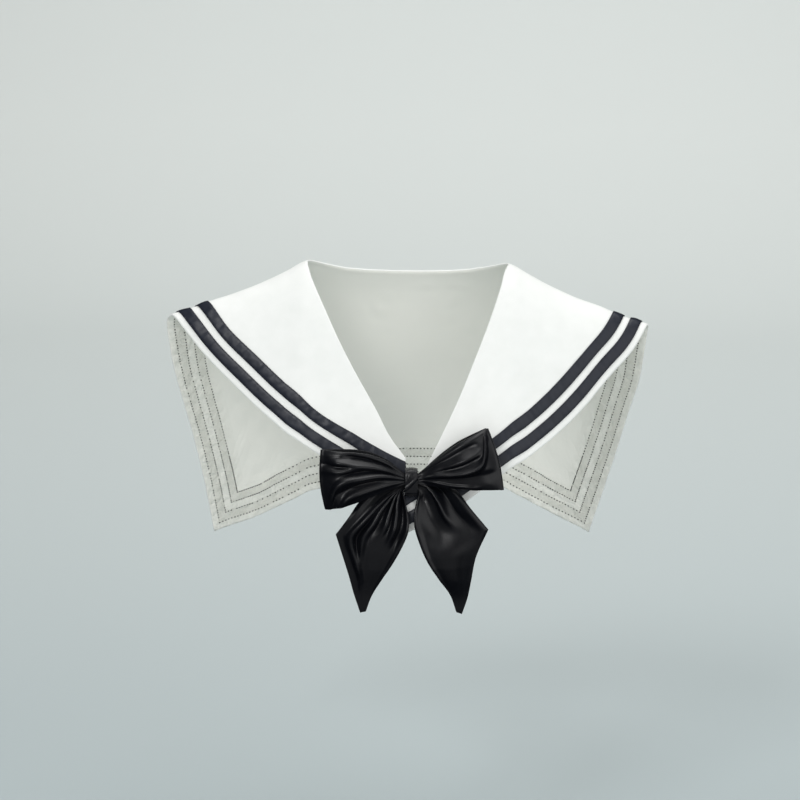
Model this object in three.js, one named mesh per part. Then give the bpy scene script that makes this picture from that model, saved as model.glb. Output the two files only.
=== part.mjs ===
// Sailor collar: one white cloth collar, two ribbons sewn along its edge, and a pleated satin bow.
// Millimetres, +Z up. The front faces -Y and +X is on the right of somebody looking at the front.
// The origin lies midway between the two side neck points, on the line of the shoulders.
import * as THREE from "three";

// Collar cloth
const shoulderHalf = 240;
const neckHalf = 100;
const frontLength = 260;
const backLength = 300;
const backNeckDrop = 58;
const shoulderFall = 54;
const clothWall = 1.6;

// Ribbons, measured from the collar's outer edge
const edgeMargin = 6.6;
const ribbonWidth = 11.2;
const ribbonGap = 7;
const ribbonWall = 1;
const neckMargin = 1.5;

// Fit between the pieces
const clearance = 0.3;
const lapFade = 95;
const mitreFade = 90;
const lapLift = clothWall + ribbonWall + 3 * clearance;

// Bow
const bowSide = 6;
const bowUp = 25.5;
const bowAlong = frontLength - bowUp;
const wingSpan = 86;
const wingSwell = 18;
const tailLength = 124;
const tailStand = 7;
const satinWall = 1.2;
const knotLength = 12;
const knotHeight = 25;
const knotDepth = 15;
const knotWall = 1.6;
const pinWidth = 8;
const pinHeight = 12;
const pinWall = 1.6;
const pinDrop = 4;

// The line of the shoulders: height at each share of the half width, as a share of shoulderFall
const ridgeRows = [
  { at: 0, height: 0.1481 },
  { at: 0.25, height: 0.1111 },
  { at: 0.42, height: 0 },
  { at: 0.5, height: -0.1759 },
  { at: 0.61, height: -0.3981 },
  { at: 0.72, height: -0.5833 },
  { at: 0.81, height: -0.7037 },
  { at: 0.9, height: -0.8426 },
  { at: 1, height: -1 },
];

// How the cloth turns down from the shoulder line: the angle that it ends with in degrees, and
// the length in which it turns
const drape = {
  frontInner: { angle: 66, bend: 24 },
  frontOuter: { angle: 67, bend: 8 },
  backInner: { angle: 87, bend: 70 },
  backOuter: { angle: 81, bend: 9 },
  frontPower: 2,
  backPower: 3.5,
};

// Soft folds of the back panel, which hangs free below the shoulder blades
const backFold = { start: 110, depth: 3.5, pitch: 150 };

// Outline of each front, from the shoulder (at 0) to the centre front (at 1). Edge and neck are
// across and along the cloth: across as a share of shoulderHalf or neckHalf, along as a share of
// frontLength. The right front laps over the left one and reaches lower.
const leftFrontRows = [
  { at: 0, edgeAcross: 1, edgeAlong: 0, neckAcross: 1, neckAlong: 0 },
  { at: 0.08, edgeAcross: 0.939, edgeAlong: 0.092, neckAcross: 0.99, neckAlong: 0.036 },
  { at: 0.2, edgeAcross: 0.839, edgeAlong: 0.236, neckAcross: 0.94, neckAlong: 0.11 },
  { at: 0.35, edgeAcross: 0.703, edgeAlong: 0.403, neckAcross: 0.82, neckAlong: 0.227 },
  { at: 0.5, edgeAcross: 0.564, edgeAlong: 0.568, neckAcross: 0.67, neckAlong: 0.361 },
  { at: 0.65, edgeAcross: 0.423, edgeAlong: 0.732, neckAcross: 0.5, neckAlong: 0.492 },
  { at: 0.8, edgeAcross: 0.246, edgeAlong: 0.862, neckAcross: 0.29, neckAlong: 0.638 },
  { at: 0.9, edgeAcross: 0.117, edgeAlong: 0.936, neckAcross: 0.16, neckAlong: 0.735 },
  { at: 1, edgeAcross: -0.017, edgeAlong: 1, neckAcross: -0.005, neckAlong: 0.823 },
];
const rightFrontRows = [
  { at: 0, edgeAcross: 1, edgeAlong: 0, neckAcross: 1, neckAlong: 0 },
  { at: 0.08, edgeAcross: 0.962, edgeAlong: 0.112, neckAcross: 0.97, neckAlong: 0.042 },
  { at: 0.2, edgeAcross: 0.858, edgeAlong: 0.267, neckAcross: 0.92, neckAlong: 0.127 },
  { at: 0.35, edgeAcross: 0.726, edgeAlong: 0.457, neckAcross: 0.81, neckAlong: 0.273 },
  { at: 0.5, edgeAcross: 0.579, edgeAlong: 0.644, neckAcross: 0.66, neckAlong: 0.438 },
  { at: 0.65, edgeAcross: 0.423, edgeAlong: 0.82, neckAcross: 0.5, neckAlong: 0.6 },
  { at: 0.8, edgeAcross: 0.24, edgeAlong: 0.977, neckAcross: 0.29, neckAlong: 0.781 },
  { at: 0.9, edgeAcross: 0.1, edgeAlong: 1.058, neckAcross: 0.13, neckAlong: 0.9 },
  { at: 1, edgeAcross: -0.046, edgeAlong: 1.13, neckAcross: -0.09, neckAlong: 0.982 },
];

// Outline of each side of the back panel, from the shoulder (at 0) to the corner (at 1). Along is
// a share of backLength for the edge and of backNeckDrop for the neck.
const leftSideRows = [
  { at: 0, edgeAcross: 1, edgeAlong: 0, neckAcross: 1, neckAlong: 0 },
  { at: 0.12, edgeAcross: 1.012, edgeAlong: 0.115, neckAcross: 0.995, neckAlong: 0.12 },
  { at: 0.27, edgeAcross: 0.993, edgeAlong: 0.262, neckAcross: 0.98, neckAlong: 0.25 },
  { at: 0.42, edgeAcross: 0.965, edgeAlong: 0.408, neckAcross: 0.94, neckAlong: 0.4 },
  { at: 0.59, edgeAcross: 0.93, edgeAlong: 0.572, neckAcross: 0.87, neckAlong: 0.57 },
  { at: 0.8, edgeAcross: 0.884, edgeAlong: 0.78, neckAcross: 0.76, neckAlong: 0.73 },
  { at: 1, edgeAcross: 0.845, edgeAlong: 0.97, neckAcross: 0.62, neckAlong: 0.86 },
];
const rightSideRows = [
  { at: 0, edgeAcross: 1, edgeAlong: 0, neckAcross: 1, neckAlong: 0 },
  { at: 0.12, edgeAcross: 1.006, edgeAlong: 0.115, neckAcross: 0.995, neckAlong: 0.12 },
  { at: 0.27, edgeAcross: 0.984, edgeAlong: 0.262, neckAcross: 0.98, neckAlong: 0.25 },
  { at: 0.42, edgeAcross: 0.956, edgeAlong: 0.408, neckAcross: 0.94, neckAlong: 0.4 },
  { at: 0.59, edgeAcross: 0.92, edgeAlong: 0.572, neckAcross: 0.87, neckAlong: 0.57 },
  { at: 0.8, edgeAcross: 0.87, edgeAlong: 0.78, neckAcross: 0.76, neckAlong: 0.73 },
  { at: 1, edgeAcross: 0.82, edgeAlong: 0.97, neckAcross: 0.62, neckAlong: 0.86 },
];

// Outline of the hem, from the left corner (at 0) to the right corner (at 1)
const hemRows = [
  { at: 0, edgeAcross: -0.845, edgeAlong: 0.97, neckAcross: -0.62, neckAlong: 0.86 },
  { at: 0.12, edgeAcross: -0.635, edgeAlong: 1.025, neckAcross: -0.46, neckAlong: 0.93 },
  { at: 0.3, edgeAcross: -0.33, edgeAlong: 1.04, neckAcross: -0.24, neckAlong: 0.98 },
  { at: 0.5, edgeAcross: 0, edgeAlong: 1.03, neckAcross: 0, neckAlong: 1 },
  { at: 0.7, edgeAcross: 0.33, edgeAlong: 1.015, neckAcross: 0.24, neckAlong: 0.98 },
  { at: 0.88, edgeAcross: 0.625, edgeAlong: 0.997, neckAcross: 0.46, neckAlong: 0.93 },
  { at: 1, edgeAcross: 0.82, edgeAlong: 0.97, neckAcross: 0.62, neckAlong: 0.86 },
];

// Bow wings, from the knot (at 0) to the folded outer end (at 1). Across and up are shares of
// wingSpan from the middle of the knot; swell is how far the front layer stands off the back one,
// as a share of wingSwell.
const leftWingRows = [
  { at: 0, topAcross: -0.02, topUp: 0.065, lowAcross: -0.02, lowUp: 0, swell: 0.1056 },
  { at: 0.12, topAcross: -0.12, topUp: 0.125, lowAcross: -0.13, lowUp: -0.03, swell: 0.1611 },
  { at: 0.28, topAcross: -0.27, topUp: 0.235, lowAcross: -0.28, lowUp: -0.07, swell: 0.5 },
  { at: 0.46, topAcross: -0.46, topUp: 0.315, lowAcross: -0.46, lowUp: -0.125, swell: 0.7778 },
  { at: 0.64, topAcross: -0.63, topUp: 0.345, lowAcross: -0.63, lowUp: -0.18, swell: 0.9444 },
  { at: 0.82, topAcross: -0.82, topUp: 0.35, lowAcross: -0.8, lowUp: -0.23, swell: 0.8333 },
  { at: 1, topAcross: -0.985, topUp: 0.35, lowAcross: -0.925, lowUp: -0.265, swell: 0.3333 },
];
const rightWingRows = [
  { at: 0, topAcross: 0.02, topUp: 0.065, lowAcross: 0.02, lowUp: 0, swell: 0.1056 },
  { at: 0.12, topAcross: 0.12, topUp: 0.13, lowAcross: 0.14, lowUp: -0.015, swell: 0.1611 },
  { at: 0.28, topAcross: 0.25, topUp: 0.245, lowAcross: 0.3, lowUp: -0.02, swell: 0.5556 },
  { at: 0.46, topAcross: 0.38, topUp: 0.35, lowAcross: 0.5, lowUp: -0.025, swell: 0.8333 },
  { at: 0.64, topAcross: 0.52, topUp: 0.445, lowAcross: 0.68, lowUp: -0.027, swell: 1 },
  { at: 0.82, topAcross: 0.68, topUp: 0.525, lowAcross: 0.86, lowUp: -0.028, swell: 0.8889 },
  { at: 1, topAcross: 0.82, topUp: 0.59, lowAcross: 1, lowUp: -0.04, swell: 0.3333 },
];
const wingEndBulge = { left: 0.035, right: 0.03 };

// Bow tails, from the knot (at 0) to the slanting point (at 1). Across and down are shares of
// tailLength from the middle of the knot; stand is how far the tail stands off the collar, as a
// share of tailStand.
const leftTailRows = [
  { at: 0, outAcross: -0.015, outDown: 0.015, inAcross: -0.015, inDown: 0.05, stand: 0 },
  { at: 0.05, outAcross: -0.075, outDown: 0.02, inAcross: -0.052, inDown: 0.066, stand: 0 },
  { at: 0.1, outAcross: -0.15, outDown: 0.03, inAcross: -0.058, inDown: 0.09, stand: 0 },
  { at: 0.16, outAcross: -0.225, outDown: 0.05, inAcross: -0.049, inDown: 0.13, stand: 0.0714 },
  { at: 0.22, outAcross: -0.3, outDown: 0.07, inAcross: -0.035, inDown: 0.185, stand: 0.1429 },
  { at: 0.36, outAcross: -0.41, outDown: 0.145, inAcross: -0.015, inDown: 0.28, stand: 0.5714 },
  { at: 0.48, outAcross: -0.5, outDown: 0.26, inAcross: -0.02, inDown: 0.36, stand: 1 },
  { at: 0.58, outAcross: -0.58, outDown: 0.385, inAcross: -0.055, inDown: 0.45, stand: 1 },
  { at: 0.72, outAcross: -0.53, outDown: 0.54, inAcross: -0.135, inDown: 0.6, stand: 0.8571 },
  { at: 0.84, outAcross: -0.475, outDown: 0.715, inAcross: -0.22, inDown: 0.735, stand: 0.7143 },
  { at: 0.93, outAcross: -0.435, outDown: 0.86, inAcross: -0.295, inDown: 0.87, stand: 0.5714 },
  { at: 1, outAcross: -0.385, outDown: 1.01, inAcross: -0.34, inDown: 1, stand: 0.5714 },
];
const rightTailRows = [
  { at: 0, outAcross: 0.015, outDown: 0.015, inAcross: 0.015, inDown: 0.05, stand: 0 },
  { at: 0.05, outAcross: 0.075, outDown: 0.008, inAcross: 0.052, inDown: 0.062, stand: 0 },
  { at: 0.1, outAcross: 0.15, outDown: 0.005, inAcross: 0.058, inDown: 0.082, stand: 0 },
  { at: 0.16, outAcross: 0.21, outDown: 0.01, inAcross: 0.054, inDown: 0.112, stand: 0.0714 },
  { at: 0.22, outAcross: 0.27, outDown: 0.015, inAcross: 0.043, inDown: 0.15, stand: 0.1429 },
  { at: 0.36, outAcross: 0.37, outDown: 0.07, inAcross: 0.028, inDown: 0.22, stand: 0.5714 },
  { at: 0.48, outAcross: 0.465, outDown: 0.18, inAcross: 0.03, inDown: 0.31, stand: 1 },
  { at: 0.58, outAcross: 0.6, outDown: 0.33, inAcross: 0.06, inDown: 0.41, stand: 1 },
  { at: 0.72, outAcross: 0.51, outDown: 0.54, inAcross: 0.135, inDown: 0.57, stand: 0.8571 },
  { at: 0.84, outAcross: 0.475, outDown: 0.735, inAcross: 0.23, inDown: 0.72, stand: 0.7143 },
  { at: 0.93, outAcross: 0.45, outDown: 0.88, inAcross: 0.315, inDown: 0.85, stand: 0.5714 },
  { at: 1, outAcross: 0.41, outDown: 1.01, inAcross: 0.365, inDown: 0.995, stand: 0.5714 },
];
const tailCorner = 0.58;
const tailLean = { slope: 0.44, fade: 60 };

// Pleats that run out from the knot: how many, their depth, and the share of the width of one
// pleat that this depth may take
const wingPleats = { left: 4, right: 3, depth: 2.6, limit: 0.26 };
const tailPleats = { left: 5, right: 3, depth: 2.4, limit: 0.24 };

// Fineness of the facets
const columnStep = 15;
const ridgeStep = 5;
const ridgeReach = 30;
const panelRows = 4;
const hemColumns = 28;
const drapeSteps = 48;
const wingColumns = 10;
const wingLines = 12;
const tailColumns = 20;
const tailLines = 14;
const knotRing = 22;
const knotColumns = 6;

const whiteCloth = new THREE.MeshStandardMaterial({ color: 0xf4f5f4, roughness: 0.9, metalness: 0 });
const ribbonSatin = new THREE.MeshStandardMaterial({ color: 0x23242a, roughness: 0.45, metalness: 0 });
const bowSatin = new THREE.MeshStandardMaterial({ color: 0x0b0c10, roughness: 0.35, metalness: 0 });
const pinSteel = new THREE.MeshStandardMaterial({ color: 0xb8bcc0, roughness: 0.35, metalness: 1 });

// The value of one column of a table at a place between its rows, on a smooth curve through them
function smoothColumn(rows, column, at) {
  let index = rows.findIndex((row) => at <= row.at) - 1;
  if (index === -2) index = rows.length - 2;
  index = Math.max(0, index);
  const slope = (i) => {
    const before = rows[Math.max(0, i - 1)];
    const after = rows[Math.min(rows.length - 1, i + 1)];
    return (after[column] - before[column]) / (after.at - before.at);
  };
  const start = rows[index];
  const end = rows[index + 1];
  const span = end.at - start.at;
  const u = (at - start.at) / span;
  const uu = u * u;
  const uuu = uu * u;
  return (
    (2 * uuu - 3 * uu + 1) * start[column] +
    (uuu - 2 * uu + u) * span * slope(index) +
    (3 * uu - 2 * uuu) * end[column] +
    (uuu - uu) * span * slope(index + 1)
  );
}

function smoothStep(value) {
  const u = Math.min(1, Math.max(0, value));
  return u * u * (3 - 2 * u);
}

// A point of the draped cloth. Across is the sideways place and along is the length of cloth from
// the shoulder line, negative at the front and positive at the back.
function drapePoint(across, along) {
  const share = Math.abs(across) / shoulderHalf;
  const isBack = along > 0;
  const inner = isBack ? drape.backInner : drape.frontInner;
  const outer = isBack ? drape.backOuter : drape.frontOuter;
  const blend = Math.min(1, share ** (isBack ? drape.backPower : drape.frontPower));
  const length = Math.abs(along);
  const step = length / drapeSteps;
  let run = 0;
  let drop = 0;
  for (let i = 0; i < drapeSteps; i += 1) {
    const place = (i + 0.5) * step;
    const innerAngle = inner.angle * (1 - Math.exp(-place / inner.bend));
    const outerAngle = outer.angle * (1 - Math.exp(-place / outer.bend));
    const angle = THREE.MathUtils.degToRad(THREE.MathUtils.lerp(innerAngle, outerAngle, blend));
    run += Math.cos(angle) * step;
    drop += Math.sin(angle) * step;
  }
  if (isBack) {
    const free = Math.max(0, along - backFold.start) / (backLength - backFold.start);
    run += backFold.depth * free * free * Math.cos((2 * Math.PI * across) / backFold.pitch);
  }
  const height = shoulderFall * smoothColumn(ridgeRows, "height", Math.min(1.05, share));
  return new THREE.Vector3(across, isBack ? run : -run, height - drop);
}

// The two directions of the cloth at a point, and the outward normal
function drapeFrame(across, along) {
  const reach = 0.5;
  const byAcross = drapePoint(across + reach, along).sub(drapePoint(across - reach, along));
  const byAlong = drapePoint(across, along + reach).sub(drapePoint(across, along - reach));
  byAcross.divideScalar(2 * reach);
  byAlong.divideScalar(2 * reach);
  const normal = new THREE.Vector3().crossVectors(byAcross, byAlong).normalize();
  return { byAcross, byAlong, normal };
}

// Edge and neckline of one leg of the outline, at a share of that leg
function frontLeg(rows, side) {
  return (at) => ({
    edge: [
      side * shoulderHalf * smoothColumn(rows, "edgeAcross", at),
      -frontLength * smoothColumn(rows, "edgeAlong", at),
    ],
    neck: [
      side * neckHalf * smoothColumn(rows, "neckAcross", at),
      -frontLength * smoothColumn(rows, "neckAlong", at),
    ],
  });
}

function backLeg(rows, side) {
  return (at) => ({
    edge: [
      side * shoulderHalf * smoothColumn(rows, "edgeAcross", at),
      backLength * smoothColumn(rows, "edgeAlong", at),
    ],
    neck: [
      side * neckHalf * smoothColumn(rows, "neckAcross", at),
      backNeckDrop * smoothColumn(rows, "neckAlong", at),
    ],
  });
}

// Shares of a leg at which columns stand: closer together near the shoulder line, where it starts
function legShares(leg) {
  const samples = 200;
  const shares = [0];
  let walked = 0;
  let since = 0;
  let last = leg(0).edge;
  for (let i = 1; i <= samples; i += 1) {
    const next = leg(i / samples).edge;
    const part = Math.hypot(next[0] - last[0], next[1] - last[1]);
    walked += part;
    since += part;
    last = next;
    const wanted = THREE.MathUtils.lerp(ridgeStep, columnStep, smoothStep(walked / ridgeReach - 0.3));
    if (since >= wanted && i < samples) {
      shares.push(i / samples);
      since = 0;
    }
  }
  shares.push(1);
  return shares;
}

// The columns of the collar in order round its outer edge: left front, left side, hem, right side,
// right front
function collarColumns() {
  const legs = [
    { leg: frontLeg(leftFrontRows, -1), reversed: true },
    { leg: backLeg(leftSideRows, -1), endsAtCorner: true },
    { leg: backLeg(hemRows, 1), endsAtCorner: true, even: true },
    { leg: backLeg(rightSideRows, 1), reversed: true },
    { leg: frontLeg(rightFrontRows, 1), laps: true },
  ];
  const columns = [];
  legs.forEach(({ leg, reversed, endsAtCorner, even, laps }) => {
    const evenShares = Array.from({ length: hemColumns + 1 }, (_, i) => i / hemColumns);
    const shares = even ? evenShares : legShares(leg);
    if (reversed) shares.reverse();
    shares.forEach((share, i) => {
      if (columns.length > 0 && i === 0) return;
      const isCorner = Boolean(endsAtCorner) && i === shares.length - 1;
      columns.push({ ...leg(share), laps: Boolean(laps), isCorner });
    });
  });
  let walked = 0;
  columns.forEach((column, i) => {
    const last = columns[Math.max(0, i - 1)].edge;
    walked += Math.hypot(column.edge[0] - last[0], column.edge[1] - last[1]);
    column.walked = walked;
  });
  return columns;
}

// Directions along the edge and inward from it, each one millimetre long on the cloth
function edgeFrame(point, tangent) {
  const { byAcross, byAlong } = drapeFrame(...point);
  const a = byAcross.dot(byAcross);
  const b = byAcross.dot(byAlong);
  const c = byAlong.dot(byAlong);
  const measure = (u, v) => u[0] * (a * v[0] + b * v[1]) + u[1] * (b * v[0] + c * v[1]);
  const unit = (u) => {
    const size = Math.sqrt(measure(u, u));
    return [u[0] / size, u[1] / size];
  };
  const along = unit(tangent);
  const inward = unit([c * along[1] + b * along[0], -b * along[1] - a * along[0]]);
  return { along, inward, measure };
}

const minus = (a, b) => [a[0] - b[0], a[1] - b[1]];

// Half of the turn of the outer edge at a corner, as the tangent of the angle
function mitreSlope(columns, i) {
  const { along, measure } = edgeFrame(columns[i].edge, minus(columns[i].edge, columns[i - 1].edge));
  const next = edgeFrame(columns[i].edge, minus(columns[i + 1].edge, columns[i].edge)).along;
  return Math.tan(Math.acos(measure(along, next)) / 2);
}

// Distances of the ribbon borders from the outer edge
const trims = [
  0,
  edgeMargin,
  edgeMargin + ribbonWidth,
  edgeMargin + ribbonWidth + ribbonGap,
  edgeMargin + 2 * ribbonWidth + ribbonGap,
];

// Places of the collar's grid on the cloth: for each column, the points at the trims and then
// evenly on to the neckline. Columns lean along the edge near the corners and the centre front, so
// that the ribbons keep their width and meet there in a mitre.
function collarPlaces() {
  const columns = collarColumns();
  const count = columns.length;
  const end = columns[count - 1].walked;
  const corners = columns.flatMap((column, i) => (column.isCorner ? [i] : []));
  const mitres = corners.map((i) => ({ walked: columns[i].walked, slope: mitreSlope(columns, i) }));
  const frames = columns.map((column, i) => {
    const before = columns[Math.max(0, i - 1)].edge;
    const after = columns[Math.min(count - 1, column.isCorner ? i : i + 1)].edge;
    return edgeFrame(column.edge, minus(after, before));
  });
  const endLean = (i) => {
    const { along, inward, measure } = frames[i];
    const line = minus(columns[i].neck, columns[i].edge);
    return measure(line, along) / measure(line, inward);
  };
  const startLean = endLean(0);
  const finishLean = endLean(count - 1);
  return columns.map((column, i) => {
    const { along, inward, measure } = frames[i];
    let lean = startLean * Math.max(0, 1 - column.walked / lapFade);
    lean += finishLean * Math.max(0, 1 - (end - column.walked) / lapFade);
    mitres.forEach(({ walked, slope }) => {
      const away = column.walked - walked;
      const side = away > 0 ? 1 : -1;
      lean += side * slope * Math.max(0, 1 - Math.abs(away) / mitreFade);
    });
    const room = measure(minus(column.neck, column.edge), inward) - neckMargin;
    const fit = Math.min(1, room / trims[trims.length - 1]);
    const at = (distance) => [
      column.edge[0] + (inward[0] + lean * along[0]) * distance * fit,
      column.edge[1] + (inward[1] + lean * along[1]) * distance * fit,
    ];
    const places = trims.map(at);
    const start = places[places.length - 1];
    for (let j = 1; j <= panelRows; j += 1) {
      const share = j / panelRows;
      places.push([
        THREE.MathUtils.lerp(start[0], column.neck[0], share),
        THREE.MathUtils.lerp(start[1], column.neck[1], share),
      ]);
    }
    const lift = column.laps ? lapLift * smoothStep((1.25 * lapFade - (end - column.walked)) / lapFade) : 0;
    return { places, lift };
  });
}

// A closed solid between two grids of points that face each other, joined round their borders
function shellGeometry(upper, lower) {
  const columns = upper.length;
  const rows = upper[0].length;
  const points = [...upper.flat(), ...lower.flat()];
  const indexOf = (layer, column, row) => layer * columns * rows + column * rows + row;
  const triangles = [];
  const quad = (a, b, c, d) => triangles.push(a, b, c, a, c, d);
  for (let i = 0; i < columns - 1; i += 1) {
    for (let j = 0; j < rows - 1; j += 1) {
      const corner = (layer, di, dj) => indexOf(layer, i + di, j + dj);
      quad(corner(0, 0, 0), corner(0, 1, 0), corner(0, 1, 1), corner(0, 0, 1));
      quad(corner(1, 0, 0), corner(1, 0, 1), corner(1, 1, 1), corner(1, 1, 0));
    }
  }
  const border = [];
  for (let i = 0; i < columns - 1; i += 1) border.push([i, 0]);
  for (let j = 0; j < rows - 1; j += 1) border.push([columns - 1, j]);
  for (let i = columns - 1; i > 0; i -= 1) border.push([i, rows - 1]);
  for (let j = rows - 1; j > 0; j -= 1) border.push([0, j]);
  border.forEach(([i, j], k) => {
    const [ni, nj] = border[(k + 1) % border.length];
    quad(indexOf(0, i, j), indexOf(1, i, j), indexOf(1, ni, nj), indexOf(0, ni, nj));
  });
  return orientedGeometry(points, triangles);
}

// A geometry with its faces turned outward
function orientedGeometry(points, triangles) {
  let volume = 0;
  const cross = new THREE.Vector3();
  for (let i = 0; i < triangles.length; i += 3) {
    cross.crossVectors(points[triangles[i + 1]], points[triangles[i + 2]]);
    volume += points[triangles[i]].dot(cross);
  }
  if (volume < 0) {
    for (let i = 0; i < triangles.length; i += 3) {
      [triangles[i + 1], triangles[i + 2]] = [triangles[i + 2], triangles[i + 1]];
    }
  }
  const geometry = new THREE.BufferGeometry().setFromPoints(points);
  geometry.setIndex(triangles);
  geometry.computeVertexNormals();
  return geometry;
}

function namedMesh(name, geometry, material) {
  const mesh = new THREE.Mesh(geometry, material);
  mesh.name = name;
  return mesh;
}

// The collar's cloth and its ribbons stand on the same grid, so that their facets stay parallel
function collarMeshes() {
  const grid = collarPlaces().map(({ places, lift }) =>
    places.map(([across, along]) => ({
      point: drapePoint(across, along),
      normal: drapeFrame(across, along).normal,
      lift,
    })),
  );
  const layer = (rows, height) =>
    grid.map((column) =>
      rows.map((row) => {
        const { point, normal, lift } = column[row];
        return point.clone().addScaledVector(normal, lift + height);
      }),
    );
  const every = grid[0].map((_, row) => row);
  const low = clothWall + clearance;
  const ribbon = (rows) => shellGeometry(layer(rows, low + ribbonWall), layer(rows, low));
  return [
    namedMesh("collar_body", shellGeometry(layer(every, clothWall), layer(every, 0)), whiteCloth),
    namedMesh("ribbon_outer", ribbon([1, 2]), ribbonSatin),
    namedMesh("ribbon_inner", ribbon([3, 4]), ribbonSatin),
  ];
}

// The bow's own frame: across to the right, up, and out from the collar. It leans back with the
// cloth behind it, and its tails hang more and more upright.
const bowSeat = drapePoint(bowSide, -bowAlong).addScaledVector(
  drapeFrame(bowSide, -bowAlong).normal,
  lapLift + clothWall + clearance + ribbonWall,
);
const pinMiddle = 2 * clearance + pinWall / 2;
const knotMiddle = 3 * clearance + pinWall + knotDepth / 2;

function bowPoint(across, up, out) {
  const down = Math.max(0, -up);
  const lean = tailLean.slope * (Math.max(0, up) - tailLean.fade * (1 - Math.exp(-down / tailLean.fade)));
  return new THREE.Vector3(
    bowSeat.x + across,
    bowSeat.y + lean - knotMiddle - out,
    bowSeat.z + up,
  );
}

// Offsets both ways from a grid of middle points, half a wall to each side
function walledGeometry(grid, wall) {
  const columns = grid.length;
  const rows = grid[0].length;
  const shifted = (side) =>
    grid.map((column, i) =>
      column.map((point, j) => {
        const byColumn = grid[Math.min(columns - 1, i + 1)][j].clone().sub(grid[Math.max(0, i - 1)][j]);
        const byRow = column[Math.min(rows - 1, j + 1)].clone().sub(column[Math.max(0, j - 1)]);
        const normal = byColumn.cross(byRow).normalize();
        return point.clone().addScaledVector(normal, (side * wall) / 2);
      }),
    );
  return shellGeometry(shifted(1), shifted(-1));
}

// Depth of the pleats at a place, kept small where the pleats are narrow
function pleatDepth(pleats, count, width, share) {
  const fade = 0.25 + 0.75 * (1 - smoothStep((share - 0.35) / 0.65));
  return Math.min(pleats.depth * fade, (pleats.limit * width) / count);
}

// A wing is one strip that runs out from the knot along the back, folds over at the outer end and
// comes back along the front, so it is hollow between its two layers
function wingGeometry(rows, pleatCount, bulge) {
  const shares = Array.from({ length: wingColumns }, (_, i) => (i / (wingColumns - 1)) ** 0.8);
  const line = (share, layer) => {
    const value = (column) => smoothColumn(rows, column, share);
    const side = Math.sign(value("topAcross"));
    const width = Math.hypot(
      value("topAcross") - value("lowAcross"),
      value("topUp") - value("lowUp"),
    ) * wingSpan;
    const depth = pleatDepth(wingPleats, pleatCount, width, share);
    return Array.from({ length: wingLines + 1 }, (_, j) => {
      const v = j / wingLines;
      const arch = Math.sin(Math.PI * v);
      const across = THREE.MathUtils.lerp(value("topAcross"), value("lowAcross"), v);
      const up = THREE.MathUtils.lerp(value("topUp"), value("lowUp"), v);
      const fold = Math.cos(2 * Math.PI * pleatCount * v);
      const back = 0.7 + 5.7 * share;
      const swell = wingSwell * value("swell") * (0.55 + 0.45 * arch);
      const out = layer === 0 ? back + 0.25 * depth * fold : back + swell + depth * fold;
      const reach = across + side * bulge * arch * share;
      return bowPoint(reach * wingSpan, up * wingSpan, out);
    });
  };
  const backGrid = shares.map((share) => line(share, 0));
  const frontGrid = shares.map((share) => line(share, 1)).reverse();
  const turn = backGrid[shares.length - 1].map((point, j) => {
    const middle = point.clone().add(frontGrid[0][j]).multiplyScalar(0.5);
    const side = Math.sign(middle.x - bowSeat.x);
    return middle.add(new THREE.Vector3(side * 2.2, 0, 0));
  });
  return walledGeometry([...backGrid, turn, ...frontGrid], satinWall);
}

// A tail is one strip from the knot to its slanting point
function tailGeometry(rows, pleatCount) {
  const legA = Array.from({ length: tailColumns * 0.6 }, (_, i) => (tailCorner * i) / (tailColumns * 0.6));
  const restCount = tailColumns * 0.4;
  const legB = Array.from({ length: restCount + 1 }, (_, i) => tailCorner + ((1 - tailCorner) * i) / restCount);
  const grid = [...legA, ...legB].map((share) => {
    const value = (column) => smoothColumn(rows, column, share);
    const width = Math.hypot(
      value("outAcross") - value("inAcross"),
      value("outDown") - value("inDown"),
    ) * tailLength;
    const depth = pleatDepth(tailPleats, pleatCount, width, share);
    return Array.from({ length: tailLines + 1 }, (_, j) => {
      const v = j / tailLines;
      const across = THREE.MathUtils.lerp(value("outAcross"), value("inAcross"), v);
      const down = THREE.MathUtils.lerp(value("outDown"), value("inDown"), v);
      const fold = Math.cos(2 * Math.PI * pleatCount * v);
      const out = tailStand * value("stand") - 2.4 + depth * fold;
      return bowPoint(across * tailLength, -down * tailLength, out);
    });
  });
  return walledGeometry(grid, satinWall);
}

// The knot is a short wrap round the roots of the wings and tails, with one slanting crease
function knotGeometry() {
  const ring = (halfDepth, halfHeight, across, creased) =>
    Array.from({ length: knotRing }, (_, k) => {
      const angle = (2 * Math.PI * k) / knotRing;
      const out = Math.cos(angle);
      const up = Math.sin(angle);
      const roundness = (out ** 4 + up ** 4) ** -0.25;
      const line = up * roundness - 0.25 - (0.9 * across) / knotLength;
      const crease = creased && out > 0 ? 1 - 0.13 * Math.exp(-((line / 0.22) ** 2)) : 1;
      const reach = roundness * crease;
      return bowPoint(across, up * halfHeight * reach, out * halfDepth * reach);
    });
  const outer = [];
  const inner = [];
  for (let i = 0; i < knotColumns; i += 1) {
    const across = knotLength * (i / (knotColumns - 1) - 0.5);
    const barrel = 0.7 * Math.cos((Math.PI * across) / knotLength);
    outer.push(ring(knotDepth / 2 - 0.7 + barrel, knotHeight / 2 - 0.7 + barrel, across, true));
    inner.push(ring(knotDepth / 2 - 0.7 - knotWall, knotHeight / 2 - 0.7 - knotWall, across, false));
  }
  const loops = [...outer, ...inner.reverse()];
  const points = loops.flat();
  const triangles = [];
  loops.forEach((_, i) => {
    const next = (i + 1) % loops.length;
    for (let k = 0; k < knotRing; k += 1) {
      const nk = (k + 1) % knotRing;
      const [a, b, c, d] = [i * knotRing + k, next * knotRing + k, next * knotRing + nk, i * knotRing + nk];
      triangles.push(a, b, c, a, c, d);
    }
  });
  return orientedGeometry(points, triangles);
}

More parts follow.
